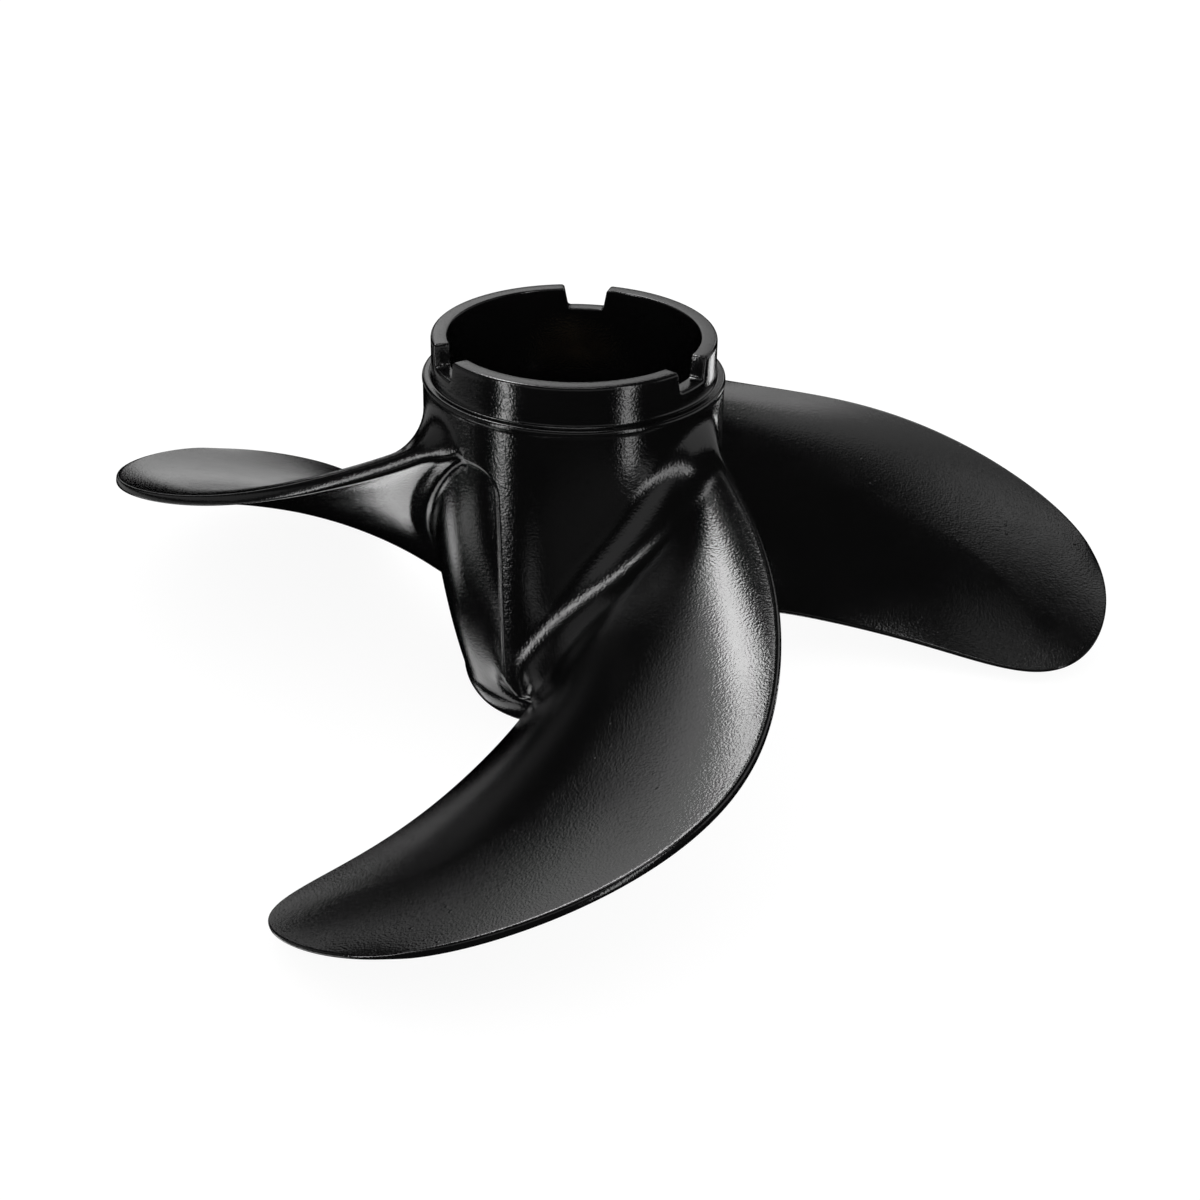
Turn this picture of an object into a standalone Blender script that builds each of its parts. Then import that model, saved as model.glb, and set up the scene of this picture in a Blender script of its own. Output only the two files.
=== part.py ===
"""Three-bladed outboard boat propeller, in metres, +Z along the shaft towards the engine.

The casting is one piece: a hub with a notched forward collar, three skewed blades with root fillets,
an inner hub on three ribs, and exhaust passages between the ribs. A rubber bushing in the inner hub
holds a bronze sleeve with internal splines. Depths are measured down the shaft axis from the forward rim.
"""

import math

import bmesh
import bpy
import numpy as np
from mathutils import Vector
from mathutils.geometry import delaunay_2d_cdt

# Main sizes
PROP_RADIUS = 0.1175
RIM_TO_ORIGIN = 0.0425
BLADE_COUNT = 3
FULL_TURN = 2.0 * math.pi
SECTOR = FULL_TURN / BLADE_COUNT

# Hub
COLLAR_RADIUS = 0.0274
COLLAR_BORE = 0.02425
RIM_ROUND = 0.0006
BORE_ROUND = 0.0003
LEDGE_DEPTH = 0.0078
LEDGE_ROUND = 0.0006
BARREL_RADIUS = 0.02905
BARREL_TOP = 0.0096
TAPER_START = 0.018
TAPER_START_RADIUS = 0.0281
TAPER_END = 0.0705
TAPER_END_RADIUS = 0.0218
TAPER_POWER = 2.4
AFT_ROUND = 0.0084
AFT_FACE_DEPTH = 0.0756

# Notches in the forward rim
NOTCH_ANGLE = math.radians(90.0)
NOTCH_WIDTH_TOP = 0.0089
NOTCH_WIDTH_FLOOR = 0.0073
NOTCH_DEPTH = 0.0042

# Parting line between the two halves of the mould: angle in degrees and depth, blade 1 to blade 3
PARTING_ANGLES = (258.3, 340.8, 354.8, 362.2, 366.1, 367.5, 369.3, 371.8, 378.3)
PARTING_DEPTHS = (0.0663, 0.0174, 0.0170, 0.0180, 0.0206, 0.0235, 0.0610, 0.0632, 0.0663)
CORNER_CUTS = 2
LIP_DEPTH = 0.0012
LIP_WIDTH = 0.0013
FADE_LENGTH = 0.0050
FADE_END_HEIGHT = 0.0060

# Blade laws along the radius, as fractions of the propeller radius
STATIONS = (0.25, 0.46, 0.64, 0.82, 1.0)
MID_ANGLES = (300.5, 286.5, 276.8, 268.25, 262.2)
MID_DEPTHS = (0.0411, 0.0479, 0.0541, 0.0587, 0.0616)
CHORD_STATIONS = (0.25, 0.35, 0.50, 0.67, 0.84, 1.0)
HALF_CHORDS = (0.0323, 0.0320, 0.0360, 0.0424, 0.0521, 0.0483)
ROOT_STATION = 0.25
ROOT_RADIUS = ROOT_STATION * PROP_RADIUS
LEAST_STATION = 0.2
PITCH_ROOT = 0.2327
PITCH_TIP = 0.2134
CROWN_ROOT = 0.0052
CROWN_TIP = 0.0007
NOSE_FULLNESS = 4.5
TAIL_HOLLOW = 0.4
HOLLOW_ROOT = 0.0010
HOLLOW_TIP = 0.0007
EDGE_HALF_ROOT = 0.0018
EDGE_HALF_TIP = 0.0009
AFT_EDGE_SHARE = 0.48
EDGE_SQUARENESS = 3.2

# Blade root fillets
FILLET_FORWARD = 0.0075
FILLET_AFT = 0.0037
FILLET_LEADING = 0.0046
FILLET_TRAILING = 0.0020

# Inside of the hub
CAVITY_DEPTH = 0.0270
BOSS_DEPTH = 0.0220
PASSAGE_TAPER_START = 0.0400
PASSAGE_OUTER_AFT = 0.0172
BOSS_RADIUS_TOP = 0.0138
BOSS_RADIUS_AFT = 0.0124
BOSS_BOTTOM = 0.0725
RIB_THICKNESS = 0.0045
RIB_ANGLE = math.radians(30.0)
RIB_BOTTOM = 0.0700
AFT_COUNTERBORE = 0.0003
BUSHING_BORE = 0.0102

# Bushing and splined sleeve
FIT_GAP = 0.0003
BUSHING_TOP = 0.0230
BUSHING_BOTTOM = 0.0700
SLEEVE_TOP = 0.0205
SLEEVE_BOTTOM = 0.0730
SLEEVE_RADIUS = 0.0074
SPLINE_MAJOR = 0.0064
SPLINE_MINOR = 0.0054
SPLINE_TEETH = 8

# Mesh density
EDGE_COLUMNS = 3
FACE_COLUMNS = 6
FILLET_ROWS = 5
SPAN_ROWS = 18
BLEND_ROWS = 5
FAN_LENGTH = 0.022
PROBE_LENGTH = 0.0005
RING_POINTS = 78
GRID_STEP = 0.0047
LINE_STEP = 0.0021
LINE_SHARES = (0.1, -1.0, -3.2)
LEAST_SPACING = 0.0009
LINE_CLEARANCE = 0.0020


def polynomial(stations, values, x):
    """Smooth curve through a few stations."""
    return np.polyval(np.polyfit(stations, values, len(stations) - 1), x)


def smooth_share(x):
    x = np.clip(x, 0.0, 1.0)
    return x * x * (3.0 - 2.0 * x)


def cylinder_point(radius, angle, z):
    return np.stack([radius * np.cos(angle), radius * np.sin(angle), z + 0.0 * angle], -1)


def turned(points, angle):
    c, s = math.cos(angle), math.sin(angle)
    return points @ np.array([[c, s, 0.0], [-s, c, 0.0], [0.0, 0.0, 1.0]])


def segment_distance(points, line):
    """Distance of each point from an open chain of points."""
    start, step = line[:-1], line[1:] - line[:-1]
    length = np.maximum((step * step).sum(-1), 1e-18)
    share = ((points[..., None, :] - start) * step).sum(-1) / length
    nearest = start + np.clip(share, 0.0, 1.0)[..., None] * step
    return np.linalg.norm(points[..., None, :] - nearest, axis=-1).min(-1)


def lower_radius(z):
    """Barrel radius left by the aft half of the mould, at a height z below the rim."""
    share = np.clip((-z - TAPER_START) / (TAPER_END - TAPER_START), 0.0, 1.0)
    return TAPER_START_RADIUS + (TAPER_END_RADIUS - TAPER_START_RADIUS) * share ** TAPER_POWER


def parting_curve():
    """Parting line in unrolled lengths over six sectors, with its corners cut round."""
    angles = np.radians(PARTING_ANGLES)
    depths = -np.array(PARTING_DEPTHS)
    line = np.concatenate([
        np.stack([(angles + turn * SECTOR) * BARREL_RADIUS, depths], -1)[:-1] for turn in range(-3, 3)
    ])
    for _ in range(CORNER_CUTS):
        near = 0.75 * line[:-1] + 0.25 * line[1:]
        far = 0.25 * line[:-1] + 0.75 * line[1:]
        line = np.stack([near, far], 1).reshape(-1, 2)
    return line


PARTING_LINE = parting_curve()


def parting_distance(angle, z):
    """Signed distance from the parting line, positive on the forward half of the mould."""
    point = np.stack([angle * BARREL_RADIUS, z], -1)
    distance = segment_distance(point, PARTING_LINE)
    above = z > np.interp(point[:, 0], PARTING_LINE[:, 0], PARTING_LINE[:, 1])
    return np.where(above, distance, -distance)


def hub_radius(angle, z):
    """Outer radius of the barrel, with the lip at the parting line and the hollow below it."""
    below = np.maximum(-parting_distance(angle, z), 0.0)
    lip = LIP_DEPTH * smooth_share(below / LIP_WIDTH)
    fade = 1.0 - np.exp(-((below / FADE_LENGTH) ** 1.5))
    settled = smooth_share((-z - (TAPER_END - FADE_END_HEIGHT)) / FADE_END_HEIGHT)
    fade = fade + (1.0 - fade) * settled
    lip = lip + (LIP_DEPTH - lip) * settled
    hollow = BARREL_RADIUS - LIP_DEPTH - lower_radius(z)
    return BARREL_RADIUS - lip - hollow * fade


def blade_laws(radius):
    """Mid-line angle and height, pitch, chord law, half chord, half edge, crown and hollow."""
    x = np.clip(radius / PROP_RADIUS, LEAST_STATION, 1.0)
    angle = np.radians(polynomial(STATIONS, MID_ANGLES, x))
    height = -polynomial(STATIONS, MID_DEPTHS, x)
    share = np.clip((x - ROOT_STATION) / (1.0 - ROOT_STATION), 0.0, 1.0)
    pitch = PITCH_ROOT + (PITCH_TIP - PITCH_ROOT) * share
    width = polynomial(CHORD_STATIONS, HALF_CHORDS, x)
    half_chord = width * np.sqrt(1.0 - share ** 4)
    edge = EDGE_HALF_TIP + (EDGE_HALF_ROOT - EDGE_HALF_TIP) * (1.0 - share) ** 3
    crown = CROWN_TIP + (CROWN_ROOT - CROWN_TIP) * (1.0 - share) ** 1.5
    hollow = HOLLOW_TIP + (HOLLOW_ROOT - HOLLOW_TIP) * (1.0 - share) ** 1.5
    return angle, height, pitch, width, half_chord, edge, crown, hollow


def mid_surface(radius, across):
    """Angle and height of the blade's middle surface, at a length across from its mid-line."""
    angle, height, pitch, *_ = blade_laws(radius)
    rise = pitch / FULL_TURN
    turn = across / np.sqrt(radius ** 2 + rise ** 2)
    return angle + turn, height + rise * turn


def outline_curve():
    """Edge of the blade's middle surface, forward edge then aft edge."""
    share = np.linspace(0.0, 1.0, 200)
    radius = PROP_RADIUS * (1.0 - (1.0 - LEAST_STATION) * (1.0 - share) ** 2)
    half_chord = blade_laws(radius)[4]
    forward = cylinder_point(radius, *mid_surface(radius, half_chord))
    aft = cylinder_point(radius, *mid_surface(radius, -half_chord))
    return np.concatenate([forward, aft[::-1]])


OUTLINE = outline_curve()


def edge_distance(radius, across):
    return segment_distance(cylinder_point(radius, *mid_surface(radius, across)), OUTLINE)


def forward_share(across, half_chord, edge):
    """Place across the blade, from 0 at the aft edge to 1 at the forward edge."""
    return smooth_share(0.5 + 0.5 * across / np.maximum(half_chord, edge))


def skin_point(radius, across, side):
    """Angle and height of a point of the blade's skin; inside the root it goes straight in."""
    radius = np.maximum(radius, ROOT_RADIUS)
    _, _, pitch, width, half_chord, edge, crown, hollow = blade_laws(radius)
    angle, z = mid_surface(radius, across)
    distance = edge_distance(radius, across)
    forward = forward_share(across, half_chord, edge)
    edge = edge * (AFT_EDGE_SHARE + (1.0 - AFT_EDGE_SHARE) * forward)
    inside = np.clip(1.0 - distance / edge, 0.0, 1.0)
    rounding = edge * (1.0 - inside ** EDGE_SQUARENESS) ** (1.0 / EDGE_SQUARENESS)
    depth = np.clip(distance / width, 0.0, 1.0)
    nose = 1.0 - (1.0 - depth) ** NOSE_FULLNESS
    tail = 1.0 - (1.0 - depth) ** 2
    tail = tail + TAIL_HOLLOW * (smooth_share(depth) - tail)
    swell = tail + (nose - tail) * forward
    offset = side * rounding + np.where(side >= 0.0, crown, hollow) * swell
    rise = pitch / FULL_TURN
    slant = np.sqrt(radius ** 2 + rise ** 2)
    return angle - offset * rise / slant / radius, z + offset * radius / slant


def chord_point(radius, chord, side):
    """Skin point at a share of the half chord."""
    half_chord = blade_laws(np.maximum(radius, ROOT_RADIUS))[4]
    return skin_point(radius, chord * half_chord, side)


def section_columns(edge_radius, middle_radius, end):
    """Radii and lengths across from the mid-line out to one edge; end is 1 forward and -1 aft."""
    half_chord = blade_laws(edge_radius)[4]
    start = np.array([end * half_chord, edge_radius])
    step = np.array([0.0, middle_radius]) - start
    length = np.linalg.norm(step)
    probe = start + step / length * PROBE_LENGTH
    slope = edge_distance(probe[1:], probe[:1])[0] / PROBE_LENGTH
    edge = blade_laws(edge_radius)[5]
    forward = forward_share(end * half_chord, half_chord, edge)
    edge = edge * (AFT_EDGE_SHARE + (1.0 - AFT_EDGE_SHARE) * forward)
    swing = np.linspace(0.0, 0.5 * math.pi, EDGE_COLUMNS + 1)
    near = edge * (1.0 - np.cos(swing) ** (2.0 / EDGE_SQUARENESS)) / slope
    near = np.minimum(near, 0.5 * length * swing / swing[-1])
    share = np.linspace(0.0, 1.0, FACE_COLUMNS + 1)[1:] ** 1.5
    along = np.concatenate([near, near[-1] + (length - near[-1]) * share])[::-1]
    track = start + step / length * along[:, None]
    return track[:, 1], track[:, 0]


def section_loop(edge_radius, middle_radius):
    """Radius, length across and side of a closed loop round the blade's section."""
    forward = section_columns(edge_radius, middle_radius, 1.0)
    aft = section_columns(edge_radius, middle_radius, -1.0)
    radius, across = (
        np.concatenate([front, front[-2::-1], back[1:], back[-2:0:-1]]) for front, back in zip(forward, aft)
    )
    count = EDGE_COLUMNS + FACE_COLUMNS
    side = np.concatenate([np.ones(count), [0.0], -np.ones(2 * count - 1), [0.0], np.ones(count - 1)])
    return radius, across, side


def outward_normals(loop):
    """Unit normals of a closed flat loop, pointing out of it."""
    tangent = np.roll(loop, -1, 0) - np.roll(loop, 1, 0)
    normal = np.stack([tangent[:, 1], -tangent[:, 0]], -1)
    area = np.sum(loop[:, 0] * np.roll(loop[:, 1], -1) - np.roll(loop[:, 0], -1) * loop[:, 1])
    return normal / np.linalg.norm(normal, axis=1)[:, None] * math.copysign(1.0, area)


def outline_radii(base):
    """Radii of the rows, an even length apart along the forward edge."""
    radius = PROP_RADIUS - (PROP_RADIUS - base) * np.linspace(1.0, 0.0, 400) ** 2
    edge = cylinder_point(radius, *mid_surface(radius, blade_laws(radius)[4]))
    length = np.concatenate([[0.0], np.cumsum(np.linalg.norm(np.diff(edge, axis=0), axis=1))])
    return np.interp(np.linspace(0.0, length[-1], SPAN_ROWS + 1), length, radius)


def fillet_sizes(chord, side):
    """Fillet radius round the blade's root, largest on the forward face and least at the trailing edge."""
    body = np.where(side > 0.0, FILLET_FORWARD, FILLET_AFT)
    nose = np.clip((chord - 0.75) / 0.25, 0.0, 1.0) ** 2
    tail = np.clip((-chord - 0.75) / 0.25, 0.0, 1.0) ** 2
    return body + (FILLET_LEADING - body) * nose + (FILLET_TRAILING - body) * tail


def blade_grid():
    """Rows of points from the hub to the tip; each row is a closed loop round the section."""
    base = BARREL_RADIUS + FILLET_FORWARD
    radius, across, side = section_loop(base, base)
    chord = across / blade_laws(base)[4]
    angle, z = skin_point(radius, across, side)
    outward = outward_normals(np.stack([angle * base, z], -1))
    fillet = fillet_sizes(chord, side)
    rows = []
    for step in range(FILLET_ROWS + 1):
        swing = 0.5 * math.pi * step / FILLET_ROWS
        climb, spread = 1.0 - math.cos(swing), 1.0 - math.sin(swing)
        radius = BARREL_RADIUS + climb * fillet
        for _ in range(6):
            angle, z = chord_point(radius, chord, side)
            angle = angle + outward[:, 0] * spread * fillet / BARREL_RADIUS
            z = z + outward[:, 1] * spread * fillet
            radius = hub_radius(angle, z) + climb * fillet
        rows.append(cylinder_point(radius, angle, z))
    first = radius
    for step, edge_radius in enumerate(outline_radii(base)[1:], start=1):
        share = (edge_radius - base) / (PROP_RADIUS - base)
        radius, across, side = section_loop(edge_radius, edge_radius - FAN_LENGTH * share ** 2)
        blend = max(0.0, 1.0 - step / BLEND_ROWS) ** 2
        if blend > 0.0:
            chord = across / blade_laws(radius)[4]
            radius = radius + (first - base) * blend
            rows.append(cylinder_point(radius, *chord_point(radius, chord, side)))
        else:
            rows.append(cylinder_point(radius, *skin_point(radius, across, side)))
    return np.array(rows)


def inside_polygon(points, polygon):
    """Even-odd test of flat points against a closed polygon."""
    inside = np.zeros(len(points), bool)
    for (ax, ay), (bx, by) in zip(polygon, np.roll(polygon, -1, 0)):
        if ay != by:
            crosses = (ay > points[:, 1]) != (by > points[:, 1])
            inside ^= crosses & (points[:, 0] < ax + (points[:, 1] - ay) * (bx - ax) / (by - ay))
    return inside


def thinned(points, least):
    """Drops points that lie closer than a least distance to one that was kept."""
    kept = points[:1]
    for point in points[1:]:
        if np.min(np.linalg.norm(kept - point, axis=1)) > least:
            kept = np.concatenate([kept, point[None]])
    return kept


def patch(border, hole, inner, clearance):
    """Triangles over a flat region round a hole; returns the points and the triangles."""
    keep = inside_polygon(inner, border) & ~inside_polygon(inner, hole)
    edges, first = [], 0
    for loop in (border, hole):
        keep &= segment_distance(inner, np.concatenate([loop, loop[:1]])) > clearance
        edges += [(first + i, first + (i + 1) % len(loop)) for i in range(len(loop))]
        first += len(loop)
    flat = np.concatenate([border, hole, inner[keep]])
    result = delaunay_2d_cdt([Vector(p * 1000.0) for p in flat], edges, [], 1, 1e-6)
    if len(result[0]) != len(flat):
        raise RuntimeError("the border of the barrel strip crosses itself")
    origin = [ids[0] for ids in result[3]]
    triangles = np.array([[origin[i] for i in face] for face in result[2]])
    outside_hole = ~inside_polygon(flat[triangles].mean(1), hole)
    return flat, triangles[outside_hole]


def seam_angle(z):
    """The seam between two sectors runs along the slope of the blade roots."""
    slope = (PARTING_ANGLES[1] - PARTING_ANGLES[0]) / (PARTING_DEPTHS[0] - PARTING_DEPTHS[1])
    middle = 0.5 * (PARTING_DEPTHS[0] + PARTING_DEPTHS[1])
    centre = 0.5 * (PARTING_ANGLES[0] + PARTING_ANGLES[1])
    return np.radians(centre + slope * (z + middle)) - 0.5 * SECTOR


def sector_strip(z, count):
    """Unrolled points across one sector of the barrel at a height."""
    turn = seam_angle(z) + SECTOR * np.arange(count + 1) / count
    return np.stack([turn * BARREL_RADIUS, np.full(count + 1, z)], -1)


def line_followers():
    """Points beside the parting line, so that its lip stays crisp."""
    lengths = np.concatenate([[0.0], np.cumsum(np.linalg.norm(np.diff(PARTING_LINE, axis=0), axis=1))])
    along = np.arange(0.0, lengths[-1], LINE_STEP)
    track = np.stack([np.interp(along, lengths, PARTING_LINE[:, i]) for i in (0, 1)], -1)
    heading = np.gradient(track, axis=0)
    heading /= np.linalg.norm(heading, axis=1)[:, None]
    left = np.stack([-heading[:, 1], heading[:, 0]], -1)
    return np.concatenate([track + left * (share * LIP_WIDTH) for share in LINE_SHARES])


def barrel_sector(footprint):
    """Points and triangles of one 120 degree strip of the barrel round a blade's footprint."""
    angle = np.unwrap(np.arctan2(footprint[:, 1], footprint[:, 0]) % FULL_TURN)
    hole = np.stack([angle * BARREL_RADIUS, footprint[:, 2]], -1)
    levels = np.linspace(-BARREL_TOP, -TAPER_END, int((TAPER_END - BARREL_TOP) / GRID_STEP) + 1)
    count = RING_POINTS // BLADE_COUNT
    strips = [sector_strip(z, count) for z in levels]
    left = np.array([strip[0] for strip in strips[1:-1]])
    right = np.array([strip[-1] for strip in strips[1:-1]])
    border = np.concatenate([strips[0], right, strips[-1][::-1], left[::-1]])
    across = int(SECTOR * BARREL_RADIUS / GRID_STEP)
    grid = np.concatenate([sector_strip(z, across)[1:-1] for z in levels[1:-1]])
    grid = grid[np.abs(parting_distance(grid[:, 0] / BARREL_RADIUS, grid[:, 1])) > LINE_CLEARANCE]
    near_line = line_followers()
    near_line = near_line[inside_polygon(near_line, border)]
    inner = thinned(np.concatenate([near_line, grid]), LEAST_SPACING)
    flat, triangles = patch(border, hole, inner, LEAST_SPACING)
    turn = flat[:, 0] / BARREL_RADIUS
    skin = cylinder_point(hub_radius(turn, flat[:, 1]), turn, flat[:, 1])
    skin[len(border):len(border) + len(hole)] = footprint
    return skin, triangles


class Shell:
    """Collects points once each, and the faces over them."""

    def __init__(self):
        self.points = []
        self.faces = []
        self.known = {}

    def add(self, point):
        key = tuple(np.round(np.asarray(point) * 1e6).astype(int))
        if key not in self.known:
            self.known[key] = len(self.points)
            self.points.append(tuple(point))
        return self.known[key]

    def face(self, ids):
        clean = [a for i, a in enumerate(ids) if a != ids[i - 1]]
        if len(clean) >= 3:
            self.faces.append(clean)

    def rings(self, rows):
        """Faces between successive closed rings of the same number of points."""
        ids = [[self.add(p) for p in row] for row in rows]
        for lower, upper in zip(ids[:-1], ids[1:]):
            for i in range(len(lower)):
                j = (i + 1) % len(lower)
                self.face([lower[i], lower[j], upper[j], upper[i]])
        return ids


def arc(centre_radius, centre_depth, size, start, end, steps):
    """Radii and depths along an arc; 0 degrees points outwards and 90 degrees points forward."""
    sweep = np.radians(np.linspace(start, end, steps + 1))
    return [(centre_radius + size * math.cos(a), centre_depth - size * math.sin(a)) for a in sweep]


def seam_rings(profile, seam_height):
    """Full rings along a profile of radius and depth, starting at the seam's angle at one height."""
    turn = seam_angle(seam_height) + FULL_TURN * np.arange(RING_POINTS) / RING_POINTS
    return [cylinder_point(radius, turn, -depth) for radius, depth in profile]


def outer_body():
    """Closed body of the casting without its hollows."""
    shell = Shell()
    rows = blade_grid()
    skin, triangles = barrel_sector(rows[0])
    for blade in range(BLADE_COUNT):
        ids = [shell.add(p) for p in turned(skin, blade * SECTOR)]
        for a, b, c in triangles:
            shell.face([ids[a], ids[b], ids[c]])
        shell.rings([turned(row, blade * SECTOR) for row in rows])

    forward = [(BARREL_RADIUS, BARREL_TOP)]
    forward += arc(BARREL_RADIUS - LEDGE_ROUND, LEDGE_DEPTH + LEDGE_ROUND, LEDGE_ROUND, 0.0, 90.0, 3)
    forward.append((COLLAR_RADIUS, LEDGE_DEPTH))
    forward += arc(COLLAR_RADIUS - RIM_ROUND, RIM_ROUND, RIM_ROUND, 0.0, 90.0, 2)
    shell.face(shell.rings(seam_rings(forward, -BARREL_TOP))[-1])

    last = -math.degrees(math.asin((AFT_FACE_DEPTH - TAPER_END) / AFT_ROUND))
    aft = arc(TAPER_END_RADIUS - AFT_ROUND, TAPER_END, AFT_ROUND, 0.0, last, 5)
    shell.face(shell.rings(seam_rings(aft, -TAPER_END))[-1])
    return shell


def mesh_object(name, shell, material):
    mesh = bpy.data.meshes.new(name)
    mesh.from_pydata([tuple(p) for p in shell.points], [], shell.faces)
    item = bpy.data.objects.new(name, mesh)
    bpy.context.collection.objects.link(item)
    work = bmesh.new()
    work.from_mesh(mesh)
    bmesh.ops.remove_doubles(work, verts=work.verts, dist=1e-7)
    bmesh.ops.recalc_face_normals(work, faces=work.faces)
    work.to_mesh(mesh)
    work.free()
    mesh.materials.append(material)
    return item


def paint(name, color, roughness, metallic):
    material = bpy.data.materials.new(name)
    material.use_nodes = True
    shader = material.node_tree.nodes["Principled BSDF"]
    shader.inputs["Base Color"].default_value = (*color, 1.0)
    shader.inputs["Roughness"].default_value = roughness
    shader.inputs["Metallic"].default_value = metallic
    return material


def plug(name, profile, material):
    """Closed turned body without a bore, from an open profile of radius and depth."""
    shell = Shell()
    turn = FULL_TURN * np.arange(RING_POINTS) / RING_POINTS
    ids = shell.rings([cylinder_point(radius, turn, -depth) for radius, depth in profile])
    shell.face(ids[0])
    shell.face(ids[-1])
    return mesh_object(name, shell, material)


def passage_radii(depth):
    """Outer and inner radius of the exhaust passages at a depth."""
    share = max(0.0, (depth - PASSAGE_TAPER_START) / (AFT_FACE_DEPTH - PASSAGE_TAPER_START))
    outer = COLLAR_BORE + (PASSAGE_OUTER_AFT - COLLAR_BORE) * share ** 1.5
    along = (depth - CAVITY_DEPTH) / (AFT_FACE_DEPTH - CAVITY_DEPTH)
    return outer, BOSS_RADIUS_TOP + (BOSS_RADIUS_AFT - BOSS_RADIUS_TOP) * along


def passage(start, material):
    """Cutter for one of the three openings between the inner hub and the barrel."""
    shell = Shell()
    over = 0.002
    steps = 18
    rows = []
    for depth in (CAVITY_DEPTH - over, PASSAGE_TAPER_START, 0.05, 0.06, AFT_FACE_DEPTH + over):
        loop = []
        for radius, way in zip(passage_radii(depth), (1, -1)):
            half = math.asin(0.5 * RIB_THICKNESS / radius)
            turn = np.linspace(start + half, start + SECTOR - half, steps)[::way]
            loop.append(cylinder_point(radius, turn, -depth))
        rows.append(np.concatenate(loop))
    ids = shell.rings(rows)
    shell.face(ids[0])
    shell.face(ids[-1])
    return mesh_object("passage", shell, material)


def notch(angle, material):
    """Cutter for one notch in the forward rim."""
    top, floor = 0.5 * NOTCH_WIDTH_TOP, 0.5 * NOTCH_WIDTH_FLOOR
    over = 0.002
    reach = top + (top - floor) / NOTCH_DEPTH * over
    outline = [(-reach, over), (-floor, -NOTCH_DEPTH), (floor, -NOTCH_DEPTH), (reach, over)]
    shell = Shell()
    rows = [
        turned(np.array([(radius, across, z) for across, z in outline]), angle)
        for radius in (0.5 * COLLAR_BORE, COLLAR_RADIUS + over)
    ]
    ids = shell.rings(rows)
    shell.face(ids[0])
    shell.face(ids[-1])
    return mesh_object("notch", shell, material)


def subtract(body, cutter):
    cutter.hide_render = True
    cutter.display_type = "WIRE"
    cut = body.modifiers.new(cutter.name, "BOOLEAN")
    cut.operation = "DIFFERENCE"
    cut.solver = "EXACT"
    cut.object = cutter
    bpy.context.view_layer.objects.active = body
    bpy.ops.object.modifier_apply(modifier=cut.name)
    bpy.data.objects.remove(cutter)


def casting(material):
    """Hub and blades in one piece, with cavity, passages, aft recess, bore and notches cut out."""
    body = mesh_object("propeller_casting", outer_body(), material)
    over = 0.002
    cavity = [
        (COLLAR_BORE + BORE_ROUND + over, -over),
        (COLLAR_BORE, BORE_ROUND),
        (COLLAR_BORE, CAVITY_DEPTH),
        (BOSS_RADIUS_TOP, CAVITY_DEPTH),
        (BOSS_RADIUS_TOP, BOSS_DEPTH),
    ]
    subtract(body, plug("cavity", cavity, material))
    for blade in range(BLADE_COUNT):
        subtract(body, passage(RIB_ANGLE + blade * SECTOR, material))
    mouth = passage_radii(AFT_FACE_DEPTH)[0] + AFT_COUNTERBORE
    recess = [
        (mouth, AFT_FACE_DEPTH + over),
        (mouth, AFT_FACE_DEPTH),
        (passage_radii(RIB_BOTTOM)[0] + AFT_COUNTERBORE, RIB_BOTTOM),
        (BOSS_RADIUS_AFT - AFT_COUNTERBORE, RIB_BOTTOM),
        (BOSS_RADIUS_AFT - AFT_COUNTERBORE, BOSS_BOTTOM),
    ]
    subtract(body, plug("aft_recess", recess, material))
    bore = [(BUSHING_BORE, BOSS_DEPTH - over), (BUSHING_BORE, BOSS_BOTTOM + over)]
    subtract(body, plug("bore", bore, material))
    for blade in range(BLADE_COUNT):
        subtract(body, notch(NOTCH_ANGLE + blade * SECTOR, material))
    return body


def bushing(material):
    """Rubber tube between the bore of the inner hub and the sleeve."""
    outer = BUSHING_BORE - FIT_GAP
    inner = SLEEVE_RADIUS + FIT_GAP
    profile = [(outer, BUSHING_TOP), (outer, BUSHING_BOTTOM), (inner, BUSHING_BOTTOM), (inner, BUSHING_TOP)]
    turn = FULL_TURN * np.arange(RING_POINTS) / RING_POINTS
    shell = Shell()
    shell.rings([cylinder_point(radius, turn, -depth) for radius, depth in profile + profile[:1]])
    return mesh_object("rubber_bushing", shell, material)


def sleeve(material):
    """Metal sleeve with straight-sided internal splines."""
    per_tooth = 8
    count = SPLINE_TEETH * per_tooth
    turn = FULL_TURN * np.arange(count) / count
    tooth = np.where(np.arange(count) % per_tooth < per_tooth // 2, SPLINE_MINOR, SPLINE_MAJOR)
    profile = [
        (SLEEVE_RADIUS, SLEEVE_TOP),
        (SLEEVE_RADIUS, SLEEVE_BOTTOM),
        (tooth, SLEEVE_BOTTOM),
        (tooth, SLEEVE_TOP),
        (SLEEVE_RADIUS, SLEEVE_TOP),
    ]
    shell = Shell()
    shell.rings([cylinder_point(radius, turn, -depth) for radius, depth in profile])
    return mesh_object("splined_sleeve", shell, material)


def settle(item):
    """Move to the origin and shade smooth."""
    for vertex in item.data.vertices:
        vertex.co.z += RIM_TO_ORIGIN
    item.data.shade_smooth()


def main():
    for item in list(bpy.data.objects):
        bpy.data.objects.remove(item, do_unlink=True)
    black = paint("gloss_black_paint", (0.012, 0.012, 0.013), 0.3, 0.0)
    rubber = paint("black_rubber", (0.02, 0.02, 0.02), 0.8, 0.0)
    bronze = paint("machined_bronze", (0.55, 0.42, 0.25), 0.35, 1.0)
    for item in (casting(black), bushing(rubber), sleeve(bronze)):
        settle(item)


main()
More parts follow.
